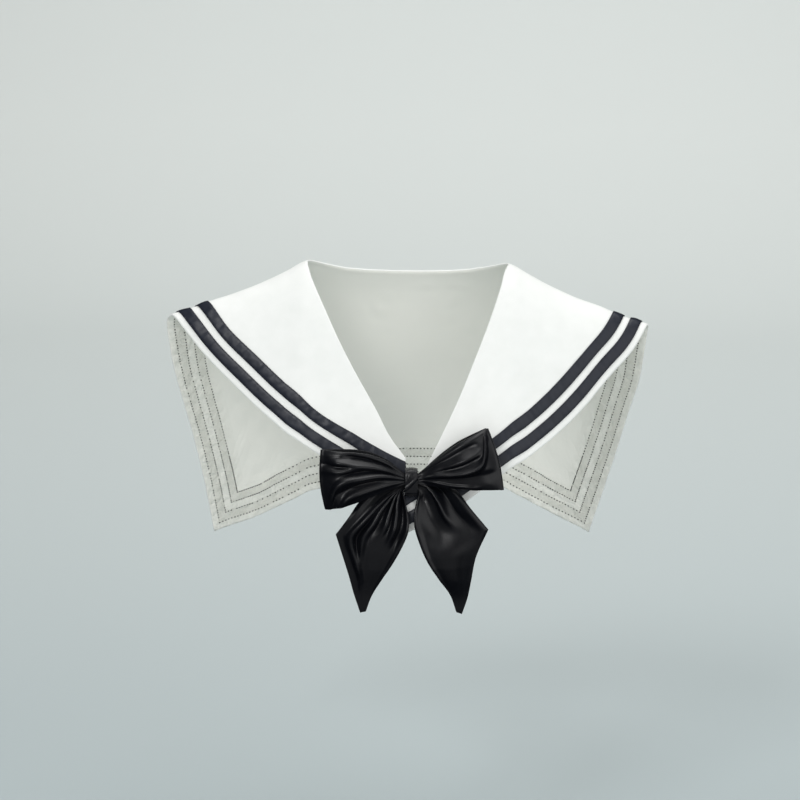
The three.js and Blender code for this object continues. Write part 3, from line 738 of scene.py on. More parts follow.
@dataclass
class Collar:
    """The cloth collar with its two ribbons and their stitches. Sizes are in millimetres. A stitch
    is its half width, half length and height over what it holds; a pucker or gather is its height
    and pitch; the slack's hump is its height, its place along and its width."""

    drape: Drape = field(default_factory=Drape)
    neck_half: float = 100.0
    front_length: float = 260.0
    neck_drop: float = 58.0
    cloth_wall: float = 1.6
    edge_margin: float = 6.6
    ribbon_width: float = 11.2
    ribbon_gap: float = 7.0
    ribbon_wall: float = 1.0
    neck_margin: float = 1.5
    clearance: float = 0.3
    lap_fade: float = 95.0
    lap_start: float = 1.25
    mitre_fade: float = 90.0
    tangent_reach: float = 26.0
    shoulder_reach: float = 8.0
    shoulder_span: float = 45.0
    slack_start: float = 25.0
    slack_hump: tuple[float, float, float] = (1.1, 30.0, 35.0)
    broad_wave: Wave = Wave(0.45, 120.0, 11)
    small_wave: Wave = Wave(0.12, 38.0, 12)
    seam_gather: Wave = Wave(1.0, 9.0, 21)
    seam_depth: float = 0.12
    seam_reach: float = 5.0
    crease: Wave = Wave(1.0, 19.0, 22)
    crease_foot: float = 0.6
    crease_power: float = 1.3
    crease_depth: float = 1.25
    crease_reach: float = 55.0
    crease_slant: float = 0.45
    stitch_inset: float = 1.0
    stitch_pitch: float = 3.6
    stitch_half_height: float = 0.2
    face_stitch: tuple[float, float, float] = (0.22, 1.35, 0.02)
    underside_stitch: tuple[float, float, float] = (0.8, 1.05, -0.05)
    crown: float = 0.35
    crown_power: float = 0.8
    dip: float = 0.22
    dip_reach: float = 0.55
    ribbon_sink: float = 0.1
    pucker: tuple[float, float] = (0.13, 10.0)
    gather: tuple[float, float] = (0.19, 24.0)
    border_share: float = 0.35
    cloth_step: float = 3.1
    trim_rows: int = 19
    panel_rows: int = 44
    ribbon_step: float = 1.7
    ribbon_rows: int = 13
    cut_width: float = 1.1
    cut_length: float = 1.13

    def __post_init__(self) -> None:
        """Works out the places that follow from the sizes."""
        inner = self.edge_margin + self.ribbon_width + self.ribbon_gap
        self.ribbon_starts = (self.edge_margin, inner)
        self.trim_width = inner + self.ribbon_width
        self.lap_lift = self.cloth_wall + self.ribbon_wall + 3 * self.clearance

    def legs(self) -> list[Leg]:
        """The outline in order: left front, left side, hem, right side, right front."""
        half, back = self.drape.shoulder_half, self.drape.back_length
        front, neck, drop = self.front_length, self.neck_half, self.neck_drop
        return [
            Leg(LEFT_FRONT_ROWS, (-half, -front, -neck, -front), from_end=True),
            Leg(LEFT_SIDE_ROWS, (-half, back, -neck, drop)),
            Leg(HEM_ROWS, (half, back, neck, drop)),
            Leg(RIGHT_SIDE_ROWS, (half, back, neck, drop), from_end=True),
            Leg(RIGHT_FRONT_ROWS, (half, -front, neck, -front)),
        ]

    def columns(self, step: float) -> Columns:
        """Columns of the grid, step millimetres apart along the outer edge. Each has a unit vector
        along the edge and one square to it, pointing inward. Near the back corners and the centre
        front the inward one leans along the edge, so that strips of even width meet in a mitre: by
        the tangent of half the corner's turn, which falls evenly to nothing along the edge."""
        legs = [leg.spaced(step) for leg in self.legs()]
        sides = [joined(legs[:2]), legs[2], joined(legs[3:])]
        tangents = [
            self._steadied(np.gradient(side[:, :2], axis=0), side[:, 1], step) for side in sides
        ]
        places = joined(sides)
        edge, neck = places[:, :2], places[:, 2:]
        walked = walked_along(edge)
        by_across, by_along, _ = self.drape.directions(edge[:, 0], edge[:, 1])
        products = (by_across * by_across, by_across * by_along, by_along * by_along)
        metric = np.stack([np.sum(product, axis=1) for product in products], axis=1)
        along = self._unit(metric, joined(tangents))
        a, b, c = metric.T
        u, v = along.T
        inward = self._unit(metric, np.stack([c * v + b * u, -b * v - a * u], axis=1))
        corners = (len(sides[0]) - 1, len(sides[0]) + len(sides[1]) - 2)
        joins = (0, corners[0] + 1, corners[1] + 1, len(edge))
        for first, last in zip(joins[:-1], joins[1:]):
            part = slice(first, last)
            inward[part] = self._steadied(inward[part], edge[part, 1], step)
        line = neck - edge
        depth = self._measure(metric, line, inward)
        leans = self._measure(metric, line, along) / depth
        left = walked[-1] - walked
        lean = leans[0] * np.maximum(0, 1 - walked / self.lap_fade)
        lean += leans[-1] * np.maximum(0, 1 - left / self.lap_fade)
        for corner, tangent in zip(corners, tangents[1:]):
            here = slice(corner, corner + 1)
            other = self._unit(metric[here], tangent[:1])
            turn = math.acos(float(self._measure(metric[here], along[here], other)[0]))
            away = walked - walked[corner]
            side = np.where(away > 0, 1.0, -1.0)
            lean += side * math.tan(turn / 2) * np.maximum(0, 1 - np.abs(away) / self.mitre_fade)
        laps = (walked > walked[corners[1]] + 1) & (edge[:, 1] < 0)
        reach = self.lap_start * self.lap_fade - left
        height, middle, width = self.slack_hump
        return Columns(
            edge=edge,
            neck=neck,
            walked=walked,
            inward=inward + lean[:, None] * along,
            fit=np.minimum(1.0, (depth - self.neck_margin) / self.trim_width),
            lift=np.where(laps, self.lap_lift * smooth_step(reach / self.lap_fade), 0),
            slack=smooth_step(edge[:, 1] / self.slack_start)
            * (1 + height * bell(edge[:, 1] - middle, width)),
        )

    def _steadied(self, rows: Array, along: Array, step: float) -> Array:
        """Directions, one a column, evened out along the edge, and less so by the shoulder line,
        where the edge turns."""
        wide = blurred(rows, self.tangent_reach / step)
        narrow = blurred(rows, self.shoulder_reach / step)
        return wide + (narrow - wide) * bell(along, self.shoulder_span)[:, None]

    def _measure(self, metric: Array, first: Array, second: Array) -> Array:
        """Product of two directions on the cloth, by the lengths that they have there."""
        a, b, c = metric.T
        return first[:, 0] * (a * second[:, 0] + b * second[:, 1]) + first[:, 1] * (
            b * second[:, 0] + c * second[:, 1]
        )

    def _unit(self, metric: Array, direction: Array) -> Array:
        """The direction at a length of one millimetre on the cloth."""
        return direction / np.sqrt(self._measure(metric, direction, direction))[:, None]

    def trim_patch(self, step: float, distances: Array) -> Patch:
        """A grid over the trim, with columns step apart and rows at distances from the edge."""
        columns = self.columns(step)
        reach = distances[None, :] * columns.fit[:, None]
        places = columns.edge[:, None, :] + reach[..., None] * columns.inward[:, None, :]
        return Patch(columns, places, np.broadcast_to(distances[None, :], reach.shape))

    def relief(self, patch: Patch) -> Array:
        """Height of the cloth's unevenness, which all the pieces sewn on it share: broad waves and
        smaller ones, small gathers beside the seams, and, where the back panel hangs free, sharp
        creases that run slantwise in from the edge."""
        across, along = patch.places[..., 0], patch.places[..., 1]
        walked, distance = patch.columns.walked[:, None], patch.distance
        total = self.broad_wave.read(across, along)
        total += self.small_wave.read(across, along)
        seams = np.zeros(distance.shape)
        for line in self.stitch_lines():
            seams = np.maximum(seams, bell(distance - line, self.seam_reach))
        total += self.seam_depth * seams * self.seam_gather.read(walked, 0.15 * distance)
        slant = self.crease_slant * distance
        crests = self.crease_foot - np.abs(self.crease.read(walked + slant, slant))
        folded = np.maximum(0.0, crests) ** self.crease_power
        near = bell(distance, self.crease_reach)
        total += self.crease_depth * patch.columns.slack[:, None] * near * folded
        return total

    def raised(self, patch: Patch, height: Array | float) -> Array:
        """Points at a height over the cloth's inner side, which may differ over the grid."""
        spot = patch.places[..., 0], patch.places[..., 1]
        total = patch.columns.lift[:, None] + self.relief(patch) + height
        return self.drape.points(*spot) + self.drape.directions(*spot)[2] * total[..., None]

    def build_cloth(self) -> Piece:
        """The white cloth: a wall over the whole grid from the outer edge to the neckline."""
        trim = self.trim_patch(self.cloth_step, np.linspace(0, self.trim_width, self.trim_rows))
        shares = np.linspace(0, 1, self.panel_rows)[1:]
        start = trim.places[:, -1:, :]
        panel = start + (trim.columns.neck[:, None, :] - start) * shares[None, :, None]
        far = np.linalg.norm(panel - start, axis=-1) + self.trim_width
        patch = Patch(
            trim.columns,
            np.concatenate([trim.places, panel], axis=1),
            np.concatenate([trim.distance, far], axis=1),
        )
        uv = np.stack([patch.walked, patch.distance], axis=-1)
        face = self.raised(patch, self.cloth_wall)
        return shell_piece("collar_cloth", face, self.raised(patch, 0.0), uv)

    def stitch_lines(self) -> list[float]:
        """Distances of the four stitch lines from the outer edge."""
        insets = (self.stitch_inset, self.ribbon_width - self.stitch_inset)
        return [start + inset for start in self.ribbon_starts for inset in insets]

    def ribbon_height(self, walked: Array, distance: Array, start: float) -> Array:
        """Height of a ribbon's face over the cloth's inner side. The ribbon is crowned between its
        two stitch lines, dips along them and puckers between them.

        Args:
            walked: length along the outer edge.
            distance: distance from the outer edge.
            start: distance of the ribbon's outer border.

        Returns:
            Heights in millimetres.
        """
        arch = np.sin(math.pi * np.clip((distance - start) / self.ribbon_width, 0, 1))
        dip = np.zeros(arch.shape)
        for line in (start + self.stitch_inset, start + self.ribbon_width - self.stitch_inset):
            dip += bell(distance - line, self.dip_reach)
        slant = 0.5 * distance
        pucker = Wave(*self.pucker, 31 + int(start)).read(walked + slant, 0.4 * distance)
        gather = Wave(*self.gather, 41 + int(start)).read(walked - slant, 0.6 * distance)
        base = self.cloth_wall + self.clearance + self.ribbon_wall
        wave = (pucker + gather) * (self.border_share + (1 - self.border_share) * arch)
        crown = self.crown * arch**self.crown_power
        return base - self.ribbon_sink + crown - self.dip * dip + wave

    def build_ribbon(self, name: str, start: float) -> Piece:
        """A satin ribbon, a thin wall on the cloth, with its outer border at a distance (start)
        from the collar's edge."""
        distances = start + np.linspace(0, self.ribbon_width, self.ribbon_rows)
        patch = self.trim_patch(self.ribbon_step, distances)
        face = self.raised(patch, self.ribbon_height(patch.walked, patch.distance, start))
        underside = self.raised(patch, self.cloth_wall + self.ribbon_sink)
        uv = np.stack([patch.walked, patch.distance - start], axis=-1)
        return shell_piece(name, face, underside, uv)

    def build_stitches(self, name: str, layer: Layer) -> Piece:
        """Lockstitches along the four stitch lines, on one side of the collar. Each is a slim six-
        cornered bead with a gap to the next."""
        lines = np.array(self.stitch_lines())
        patch = self.trim_patch(self.stitch_pitch, lines)
        if layer is Layer.FACE:
            half_width, half_length, over = self.face_stitch
            heights = [
                self.ribbon_height(patch.walked[:, [i]], patch.distance[:, [i]], start)
                for i, start in enumerate(np.repeat(self.ribbon_starts, 2).tolist())
            ]
            height = np.concatenate(heights, axis=1) + over
        else:
            half_width, half_length, over = self.underside_stitch
            height = over
        middle = self.raised(patch, height)
        normal = self.drape.directions(patch.places[..., 0], patch.places[..., 1])[2]
        along = np.gradient(middle, axis=0)
        along /= np.linalg.norm(along, axis=-1, keepdims=True)
        across = np.cross(normal, along)
        ends, sides, tops = (
            half_length * along,
            half_width * across,
            self.stitch_half_height * normal,
        )
        steps = (ends, sides, -ends, -sides, tops, -tops)
        beads = np.stack([middle + step for step in steps], axis=2).reshape(-1, 3)
        pattern = np.array(
            [[0, 1, 4], [1, 2, 4], [2, 3, 4], [3, 0, 4], [1, 0, 5], [2, 1, 5], [3, 2, 5], [0, 3, 5]]
        )
        first = np.arange(0, len(beads), len(steps))
        return new_piece(name, beads, (first[:, None, None] + pattern[None]).reshape(-1, 3))

    def dress(self, palette: Palette) -> None:
        cloth = self.build_cloth()
        outer = self.build_ribbon("satin_ribbon_outer", self.ribbon_starts[0])
        inner = self.build_ribbon("satin_ribbon_inner", self.ribbon_starts[1])
        upper = self.build_stitches("stitches_face", Layer.FACE)
        lower = self.build_stitches("stitches_underside", Layer.UNDERSIDE)
        ribbon, thread = palette["ribbon"], palette["thread"]
        declare(cloth, "collar_body", "collar_cloth", palette["shirting"], palette["underside"])
        declare(outer, "ribbon_outer", "ribbon_satin", ribbon, ribbon)
        declare(inner, "ribbon_inner", "ribbon_satin", ribbon, ribbon)
        declare(upper, None, "ribbon_satin", thread)
        declare(lower, None, "ribbon_satin", thread)
        sizes = np.zeros(len(cloth.data.polygons), dtype=np.float32)
        cloth.data.polygons.foreach_get("area", sizes)


# ---------------------------------------------------------------- the bow

# A row of a wing: share of the way out, upper border across and up, lower border across and up,
# as shares of the span, and swell in millimetres.
LEFT_WING_ROWS = (
    (0, -0.02, 0.065, -0.02, 0, 1.9),
    (0.12, -0.12, 0.125, -0.13, -0.03, 2.9),
    (0.28, -0.27, 0.235, -0.28, -0.07, 9),
    (0.46, -0.46, 0.315, -0.46, -0.125, 14),
    (0.64, -0.63, 0.345, -0.63, -0.18, 17),
    (0.82, -0.82, 0.35, -0.8, -0.23, 15),
    (1, -0.985, 0.35, -0.925, -0.265, 6),
)
RIGHT_WING_ROWS = (
    (0, 0.02, 0.065, 0.02, 0, 1.9),
    (0.12, 0.12, 0.13, 0.14, -0.015, 2.9),
    (0.28, 0.25, 0.245, 0.3, -0.02, 10),
    (0.46, 0.38, 0.35, 0.5, -0.025, 15),
    (0.64, 0.52, 0.445, 0.68, -0.027, 18),
    (0.82, 0.68, 0.525, 0.86, -0.028, 16),
    (1, 0.82, 0.59, 1, -0.04, 6),
)
# A row of a tail: share of the way out, outer border across and down, inner border across and
# down, as shares of the length, and how far it stands out in millimetres.
LEFT_TAIL_ROWS = (
    (0, -0.015, 0.015, -0.015, 0.05, 0),
    (0.05, -0.075, 0.02, -0.052, 0.066, 0),
    (0.1, -0.15, 0.03, -0.058, 0.09, 0),
    (0.16, -0.225, 0.05, -0.049, 0.13, 0.5),
    (0.22, -0.3, 0.07, -0.035, 0.185, 1),
    (0.36, -0.4, 0.145, -0.015, 0.28, 4),
    (0.48, -0.485, 0.26, -0.02, 0.36, 7),
    (0.58, -0.58, 0.385, -0.055, 0.45, 7),
    (0.72, -0.53, 0.54, -0.135, 0.6, 6),
    (0.84, -0.475, 0.715, -0.22, 0.735, 5),
    (0.93, -0.435, 0.86, -0.295, 0.87, 4),
    (1, -0.385, 1.01, -0.34, 1, 4),
)
RIGHT_TAIL_ROWS = (
    (0, 0.015, 0.015, 0.015, 0.05, 0),
    (0.05, 0.075, 0.008, 0.052, 0.062, 0),
    (0.1, 0.15, 0.005, 0.058, 0.082, 0),
    (0.16, 0.21, 0.01, 0.054, 0.112, 0.5),
    (0.22, 0.27, 0.015, 0.043, 0.15, 1),
    (0.36, 0.37, 0.07, 0.028, 0.22, 4),
    (0.48, 0.465, 0.18, 0.03, 0.31, 7),
    (0.58, 0.6, 0.33, 0.06, 0.41, 7),
    (0.72, 0.51, 0.54, 0.135, 0.57, 6),
    (0.84, 0.475, 0.735, 0.23, 0.72, 5),
    (0.93, 0.45, 0.88, 0.315, 0.85, 4),
    (1, 0.41, 1.01, 0.365, 0.995, 4),
)


@dataclass(frozen=True)
class Fold:
    """One fold of a gathered strip: a ridge, or a hollow where its height, in millimetres, is below
    zero. Its path is a list of shares of the way out from the knot and across the strip, and its
    width is a share of the strip's. The lean makes the side towards the first border steeper."""

    path: Table
    height: float
    width: float = 0.07
    fade: float = 0.16
    lean: float = 0.2

    def heights(self, out: Array, across: Array) -> Array:
        """Height of the fold, which rises after its path's first place and fades before its last.

        Args:
            out: share of the way from the knot to the end.
            across: share of the way across the strip.

        Returns:
            Heights in millimetres.
        """
        start, end = self.path[0][0], self.path[-1][0]
        (middle,) = read_table(self.path, np.clip(out, start, end))
        width = self.width * np.where(across < middle, 1 - self.lean, 1 + self.lean)
        rise = smooth_step((out - start) / self.fade + 0.5)
        fall = smooth_step((end - out) / self.fade + 0.5)
        return self.height * bell(across - middle, width) * rise * fall


LEFT_WING_FOLDS = (
    Fold(((0, 0.12), (0.3, 0.06), (0.6, 0.02), (0.8, 0.04), (1, 0.08)), 1.6, 0.06),
    Fold(((0, 0.3), (0.3, 0.26), (0.5, 0.25), (0.66, 0.22), (0.78, 0.18), (0.88, 0.17)), 4.0, 0.06),
    Fold(((0.64, 0.3), (0.78, 0.33), (0.9, 0.32), (1, 0.34)), 2.4, 0.05),
    Fold(
        ((0, 0.5), (0.3, 0.46), (0.5, 0.5), (0.7, 0.5), (0.82, 0.6), (0.9, 0.78), (0.96, 0.92)),
        4.8,
        0.075,
    ),
    Fold(((0, 0.75), (0.3, 0.8), (0.5, 0.82), (0.68, 0.84), (0.8, 0.96)), 3.6, 0.07),
    Fold(((0.2, 0.15), (0.5, 0.12), (0.72, 0.08)), -3.6, 0.055),
    Fold(((0.68, 0.25), (0.82, 0.25), (1, 0.23)), -2.0, 0.05),
    Fold(((0.2, 0.37), (0.5, 0.37), (0.75, 0.41)), -2.6, 0.05),
    Fold(((0.3, 0.62), (0.6, 0.65), (0.78, 0.74)), -3.6, 0.07),
)
RIGHT_WING_FOLDS = (
    Fold(((0, 0.1), (0.3, 0.06), (0.6, 0.05), (1, 0.04)), 2.2, 0.05),
    Fold(((0.4, 0.34), (0.6, 0.32), (0.75, 0.31), (0.84, 0.26)), 1.6, 0.05),
    Fold(
        (
            (0, 0.5),
            (0.25, 0.5),
            (0.45, 0.56),
            (0.63, 0.56),
            (0.76, 0.51),
            (0.84, 0.42),
            (0.9, 0.28),
            (0.96, 0.1),
        ),
        5.4,
        0.06,
    ),
    Fold(((0.1, 0.68), (0.25, 0.8), (0.4, 0.9), (0.7, 0.94)), 2.8, 0.055),
    Fold(((0.2, 0.18), (0.5, 0.18), (0.8, 0.14)), -3.0, 0.08),
    Fold(((0.3, 0.42), (0.6, 0.43), (0.8, 0.36)), -3.4, 0.07),
    Fold(((0.3, 0.68), (0.6, 0.7), (0.95, 0.7)), -2.6, 0.1),
)
LEFT_TAIL_FOLDS = (
    Fold(((0.05, 0.12), (0.3, 0.08), (0.5, 0.05)), 1.4, 0.05),
    Fold(
        (
            (0.1, 0.5),
            (0.25, 0.41),
            (0.38, 0.33),
            (0.5, 0.24),
            (0.66, 0.22),
            (0.76, 0.27),
            (0.86, 0.36),
        ),
        4.4,
        0.07,
    ),
    Fold(((0.16, 0.5), (0.34, 0.39), (0.5, 0.32), (0.68, 0.3)), -3.4, 0.045),
    Fold(((0.1, 0.57), (0.37, 0.43), (0.46, 0.41), (0.58, 0.4), (0.7, 0.37)), 3.2, 0.05),
    Fold(((0.14, 0.6), (0.36, 0.52), (0.56, 0.5)), -3.0, 0.045),
    Fold(((0.1, 0.64), (0.34, 0.6), (0.52, 0.62)), 2.8, 0.045),
    Fold(((0.12, 0.67), (0.34, 0.67), (0.5, 0.69)), -2.8, 0.035),
    Fold(((0.08, 0.72), (0.2, 0.72), (0.42, 0.75), (0.56, 0.78)), 4.2, 0.05),
    Fold(((0.1, 0.88), (0.4, 0.87), (0.6, 0.88)), -4.4, 0.06),
    Fold(((0.06, 0.97), (0.5, 0.97), (0.9, 0.95)), 2.0, 0.04),
    Fold(((0.56, 0.62), (0.72, 0.58), (0.9, 0.55)), 2.4, 0.35, 0.3),
)
RIGHT_TAIL_FOLDS = (
    Fold(((0.06, 0.97), (0.4, 0.98), (0.9, 0.97)), 2.2, 0.04, lean=-0.2),
    Fold(((0.12, 0.76), (0.32, 0.74), (0.56, 0.68)), -4.6, 0.15, 0.3, -0.2),
    Fold(((0.06, 0.42), (0.2, 0.46), (0.35, 0.46), (0.5, 0.46)), 4.4, 0.05, lean=-0.2),
    Fold(((0.12, 0.24), (0.35, 0.28), (0.55, 0.26)), -4.0, 0.1),
    Fold(((0.06, 0.08), (0.35, 0.06), (0.6, 0.06)), 2.4, 0.06),
    Fold(((0.62, 0.62), (0.72, 0.6), (0.92, 0.6)), 8.0, 0.62, 0.18),
)


@dataclass(frozen=True)
class Strip:
    """What shapes a strip of the bow: its rows and folds, how far its borders bow out, and the
    share of its swell that is round."""

    rows: Table
    folds: tuple[Fold, ...]
    bulge: float = 0.0
    rounding: float = 0.0


WINGS = {
    Side.LEFT: Strip(LEFT_WING_ROWS, LEFT_WING_FOLDS, 0.035, 0.32),
    Side.RIGHT: Strip(RIGHT_WING_ROWS, RIGHT_WING_FOLDS, 0.03, 0.5),
}
TAILS = {
    Side.LEFT: Strip(LEFT_TAIL_ROWS, LEFT_TAIL_FOLDS),
    Side.RIGHT: Strip(RIGHT_TAIL_ROWS, RIGHT_TAIL_FOLDS),
}


@dataclass
class Bow:
    """The satin bow: two hollow wings, two tails and the wrapped knot, in millimetres. The back of
    a wing stands out by the first size at the knot and by their sum at its end. Fine lines run
    over the satin, read over a size across and one outward. Grids are counts of points."""

    collar: Collar
    side: float = 6.0
    cloth_down: float = 234.5
    wing_span: float = 86.0
    tail_length: float = 124.0
    wall: float = 1.2
    knot_length: float = 12.0
    knot_height: float = 25.0
    knot_depth: float = 15.0
    knot_wall: float = 1.6
    knot_barrel: float = 0.7
    knot_recede: float = 0.55
    knot_crease: float = 0.15
    knot_crease_up: float = 0.25
    knot_crease_width: float = 0.16
    knot_slant: float = 0.9
    knot_grain: Wave = Wave(0.012, 5.0, 71)
    knot_grid: tuple[int, int] = (30, 96)
    pin_wall: float = 1.6
    lean_slope: float = 0.44
    lean_fade: float = 60.0
    tail_corner: float = 0.58
    corner_reach: float = 0.14
    wing_full_width: float = 46.0
    tail_full_width: float = 40.0
    wing_arch_power: float = 0.8
    wing_crowding: float = 0.9
    wing_rim: float = 2.4
    wing_rim_steps: int = 9
    wing_back: tuple[float, float] = (0.7, 5.7)
    wing_gap: float = 1.9
    wing_sink: float = 1.4
    wing_lines: float = 0.07
    wing_lines_over: tuple[float, float] = (60.0, 22.0)
    tail_sink: float = 3.4
    tail_lines: float = 0.05
    tail_lines_over: tuple[float, float] = (50.0, 26.0)
    line_pitch: float = 11.0
    back_ripple: float = 0.35
    back_ripples: int = 4
    wing_grid: tuple[int, int] = (90, 90)
    tail_grid: tuple[int, int, int] = (88, 64, 80)
    strip_width: float = 60.0
    wing_flat_width: float = 0.055
    tail_flat_width: float = 0.07
    tail_flat_share: float = 0.55

    def __post_init__(self) -> None:
        """Finds the place of the knot over the lapped fronts."""
        place = (np.array([self.side]), np.array([-self.cloth_down]))
        collar = self.collar
        height = collar.lap_lift + collar.cloth_wall + collar.clearance + collar.ribbon_wall
        normal = collar.drape.directions(*place)[2][0]
        self.seat = collar.drape.points(*place)[0] + normal * height
        self.knot_middle = 3 * collar.clearance + self.pin_wall + self.knot_depth / 2

    def place(self, across: Array, up: Array, out: Array) -> Array:
        """Points of the bow's own frame in the row's. The bow leans back with the cloth behind it,
        and below the knot the lean fades as slope x fade x (1 - exp(-down / fade)).

        Args:
            across: places to the right of the knot.
            up: places above it.
            out: places towards the front.

        Returns:
            Array of their shape and 3.
        """
        down = np.maximum(0.0, -up)
        fall = self.lean_fade * (1 - np.exp(-down / self.lean_fade))
        lean = self.lean_slope * (np.maximum(0.0, up) - fall)
        x, y, z = self.seat
        parts = np.broadcast_arrays(x + across, y + lean - self.knot_middle - out, z + up)
        return np.stack(parts, axis=-1)

    def _corner_shift(self, rows: Table, shares: Array, column: int) -> Array:
        """How far a tail's outer edge, which is read in two parts that meet in its sharp corner,
        lies from the smooth curve through all rows, by one column of the table."""
        corner = [row[0] for row in rows].index(self.tail_corner)
        whole, upper, lower = (
            read_table(part, shares)[column] for part in (rows, rows[: corner + 1], rows[corner:])
        )
        return (np.where(shares <= self.tail_corner, upper, lower) - whole)[:, None]

    def _walled(self, name: str, middle: Array, run: Array, across: Array) -> Piece:
        """A wall of satin round a grid of middle points, with its UV map by the length along the
        strip and the share of the way across."""
        offset = self.wall / 2 * grid_normals(middle)
        uv = np.stack(np.broadcast_arrays(run[:, None], self.strip_width * across), axis=-1)
        return shell_piece(name, middle + offset, middle - offset, uv)

    def build_wing(self, name: str, side: Side) -> Piece:
        """A wing: one strip that runs out from the knot along the back, turns over a narrow edge
        and comes back along the front, which swells out and is folded."""
        strip = WINGS[side]
        shares = np.linspace(0, 1, self.wing_grid[0]) ** self.wing_crowding
        across = np.linspace(0, 1, self.wing_grid[1])[None, :]
        columns = [column[:, None] for column in read_table(strip.rows, shares)]
        top_x, top_z, low_x, low_z, swell = columns
        out = np.broadcast_to(shares[:, None], (len(shares), across.size))
        arch = np.sin(math.pi * across)
        span = self.wing_span
        x = top_x + (low_x - top_x) * across + side.value * strip.bulge * arch * out
        z = top_z + (low_z - top_z) * across
        back = self.wing_back[0] + self.wing_back[1] * out
        rounded = strip.rounding * arch**self.wing_arch_power
        front = back + swell * (1 - strip.rounding + rounded)
        width = np.hypot(top_x - low_x, top_z - low_z) * span
        room = np.minimum(1.0, width / self.wing_full_width)
        for fold in strip.folds:
            front = front + room * fold.heights(out, across)
        front = front - self.wing_sink * room
        lines = Wave(self.wing_lines, self.line_pitch, 50 + side.value)
        wide, long = self.wing_lines_over
        front = front + room * lines.read(wide * across, long * out)
        ripples = np.cos(2 * math.pi * self.back_ripples * across)
        back = back + self.back_ripple * room * ripples
        front = np.maximum(front, back + self.wing_gap)
        turn = np.linspace(0, math.pi, self.wing_rim_steps)[1:-1]
        back_grid = self.place(x * span, z * span, back)
        front_grid = self.place(x * span, z * span, front)
        middle = (back_grid[-1] + front_grid[-1]) / 2
        half = (front_grid[-1] - back_grid[-1]) / 2
        outward = np.array([side.value * self.wing_rim, 0.0, 0.0])
        rim = (
            middle[None]
            - np.cos(turn)[:, None, None] * half[None]
            + np.sin(turn)[:, None, None] * outward
        )
        grid = np.concatenate([back_grid, rim, front_grid[::-1]])
        return self._walled(name, grid, np.linspace(0, 2 * span, len(grid)), across)

    def build_tail(self, name: str, side: Side) -> Piece:
        """A tail: one strip from the knot to its slanting point, folded lengthwise."""
        strip = TAILS[side]
        corner = self.tail_corner
        upper, lower, rows = self.tail_grid
        shares = joined([np.linspace(0, corner, upper), np.linspace(corner, 1, lower)])
        across = np.linspace(0, 1, rows)[None, :]
        columns = [column[:, None] for column in read_table(strip.rows, shares)]
        out_x, out_z, in_x, in_z, stand = columns
        out = np.broadcast_to(shares[:, None], (len(shares), across.size))
        span = self.tail_length
        shift_x, shift_z = (
            self._corner_shift(strip.rows, shares, column) * bell(across, self.corner_reach)
            for column in (0, 1)
        )
        x = out_x + (in_x - out_x) * across + shift_x
        z = -(out_z + (in_z - out_z) * across) - shift_z
        width = np.hypot(out_x - in_x, out_z - in_z) * span
        room = np.minimum(1.0, width / self.tail_full_width)
        depth = stand - self.tail_sink
        for fold in strip.folds:
            depth = depth + room * fold.heights(out, across)
        lines = Wave(self.tail_lines, self.line_pitch, 60 + side.value)
        wide, long = self.tail_lines_over
        depth = depth + room * lines.read(wide * across, long * out)
        return self._walled(name, self.place(x * span, z * span, depth), shares * span, across)

    def build_knot(self, name: str) -> Piece:
        """The knot: a short wrap round the roots, a rounded square in section, with a bulge, one
        slanting crease across its front and a hollow below it."""
        count, ring = self.knot_grid
        angle = np.linspace(0, 2 * math.pi, ring, endpoint=False)[None, :]
        across = self.knot_length * (np.linspace(0, 1, count) - 0.5)[:, None]
        out, up = np.cos(angle), np.sin(angle)
        roundness = (out**4 + up**4) ** -0.25
        in_front = smooth_step(out * 3)
        slant = self.knot_slant * across / self.knot_length
        line = up * roundness - self.knot_crease_up - slant
        crease = 1 - self.knot_crease * bell(line, self.knot_crease_width) * in_front
        reach = roundness * crease + self.knot_grain.read(14 * up + across, 3 * across)
        recede = 1 - self.knot_recede * smooth_step((-line - 0.05) / 0.8) * in_front
        barrel = self.knot_barrel * np.cos(math.pi * across / self.knot_length)
        half_depth = self.knot_depth / 2 - self.knot_barrel
        half_height = self.knot_height / 2 - self.knot_barrel
        tall, deep = (half_height + barrel) * reach, (half_depth + barrel) * reach * recede
        outer = self.place(across, up * tall, out * deep)
        tall, deep = (size - self.knot_wall for size in (half_height, half_depth))
        inner = self.place(across, up * tall * roundness, out * deep * roundness)
        loops = np.concatenate([outer, inner[::-1]])
        count = len(loops)
        around = np.broadcast_to(angle * self.knot_height / 4, (count, ring))
        along = np.broadcast_to(np.arange(count)[:, None] * 0.4, (count, ring))
        uv = np.stack([along, around], axis=-1).reshape(-1, 2)
        faces = quads_of_grid(count, ring, closed=True)
        return closed_piece(name, loops.reshape(-1, 3), faces, uv)

    def dress(self, palette: Palette) -> None:
        satin = palette["bow"]
        wings = [self.build_wing(f"satin_wing_{side.name.lower()}", side) for side in Side]
        tails = [self.build_tail(f"satin_tail_{side.name.lower()}", side) for side in Side]
        knot = self.build_knot("satin_knot")
        for piece in (*wings, *tails, knot):
            declare(piece, piece.name.replace("satin", "bow"), "bow_satin", satin, satin)


# ---------------------------------------------------------------- studio


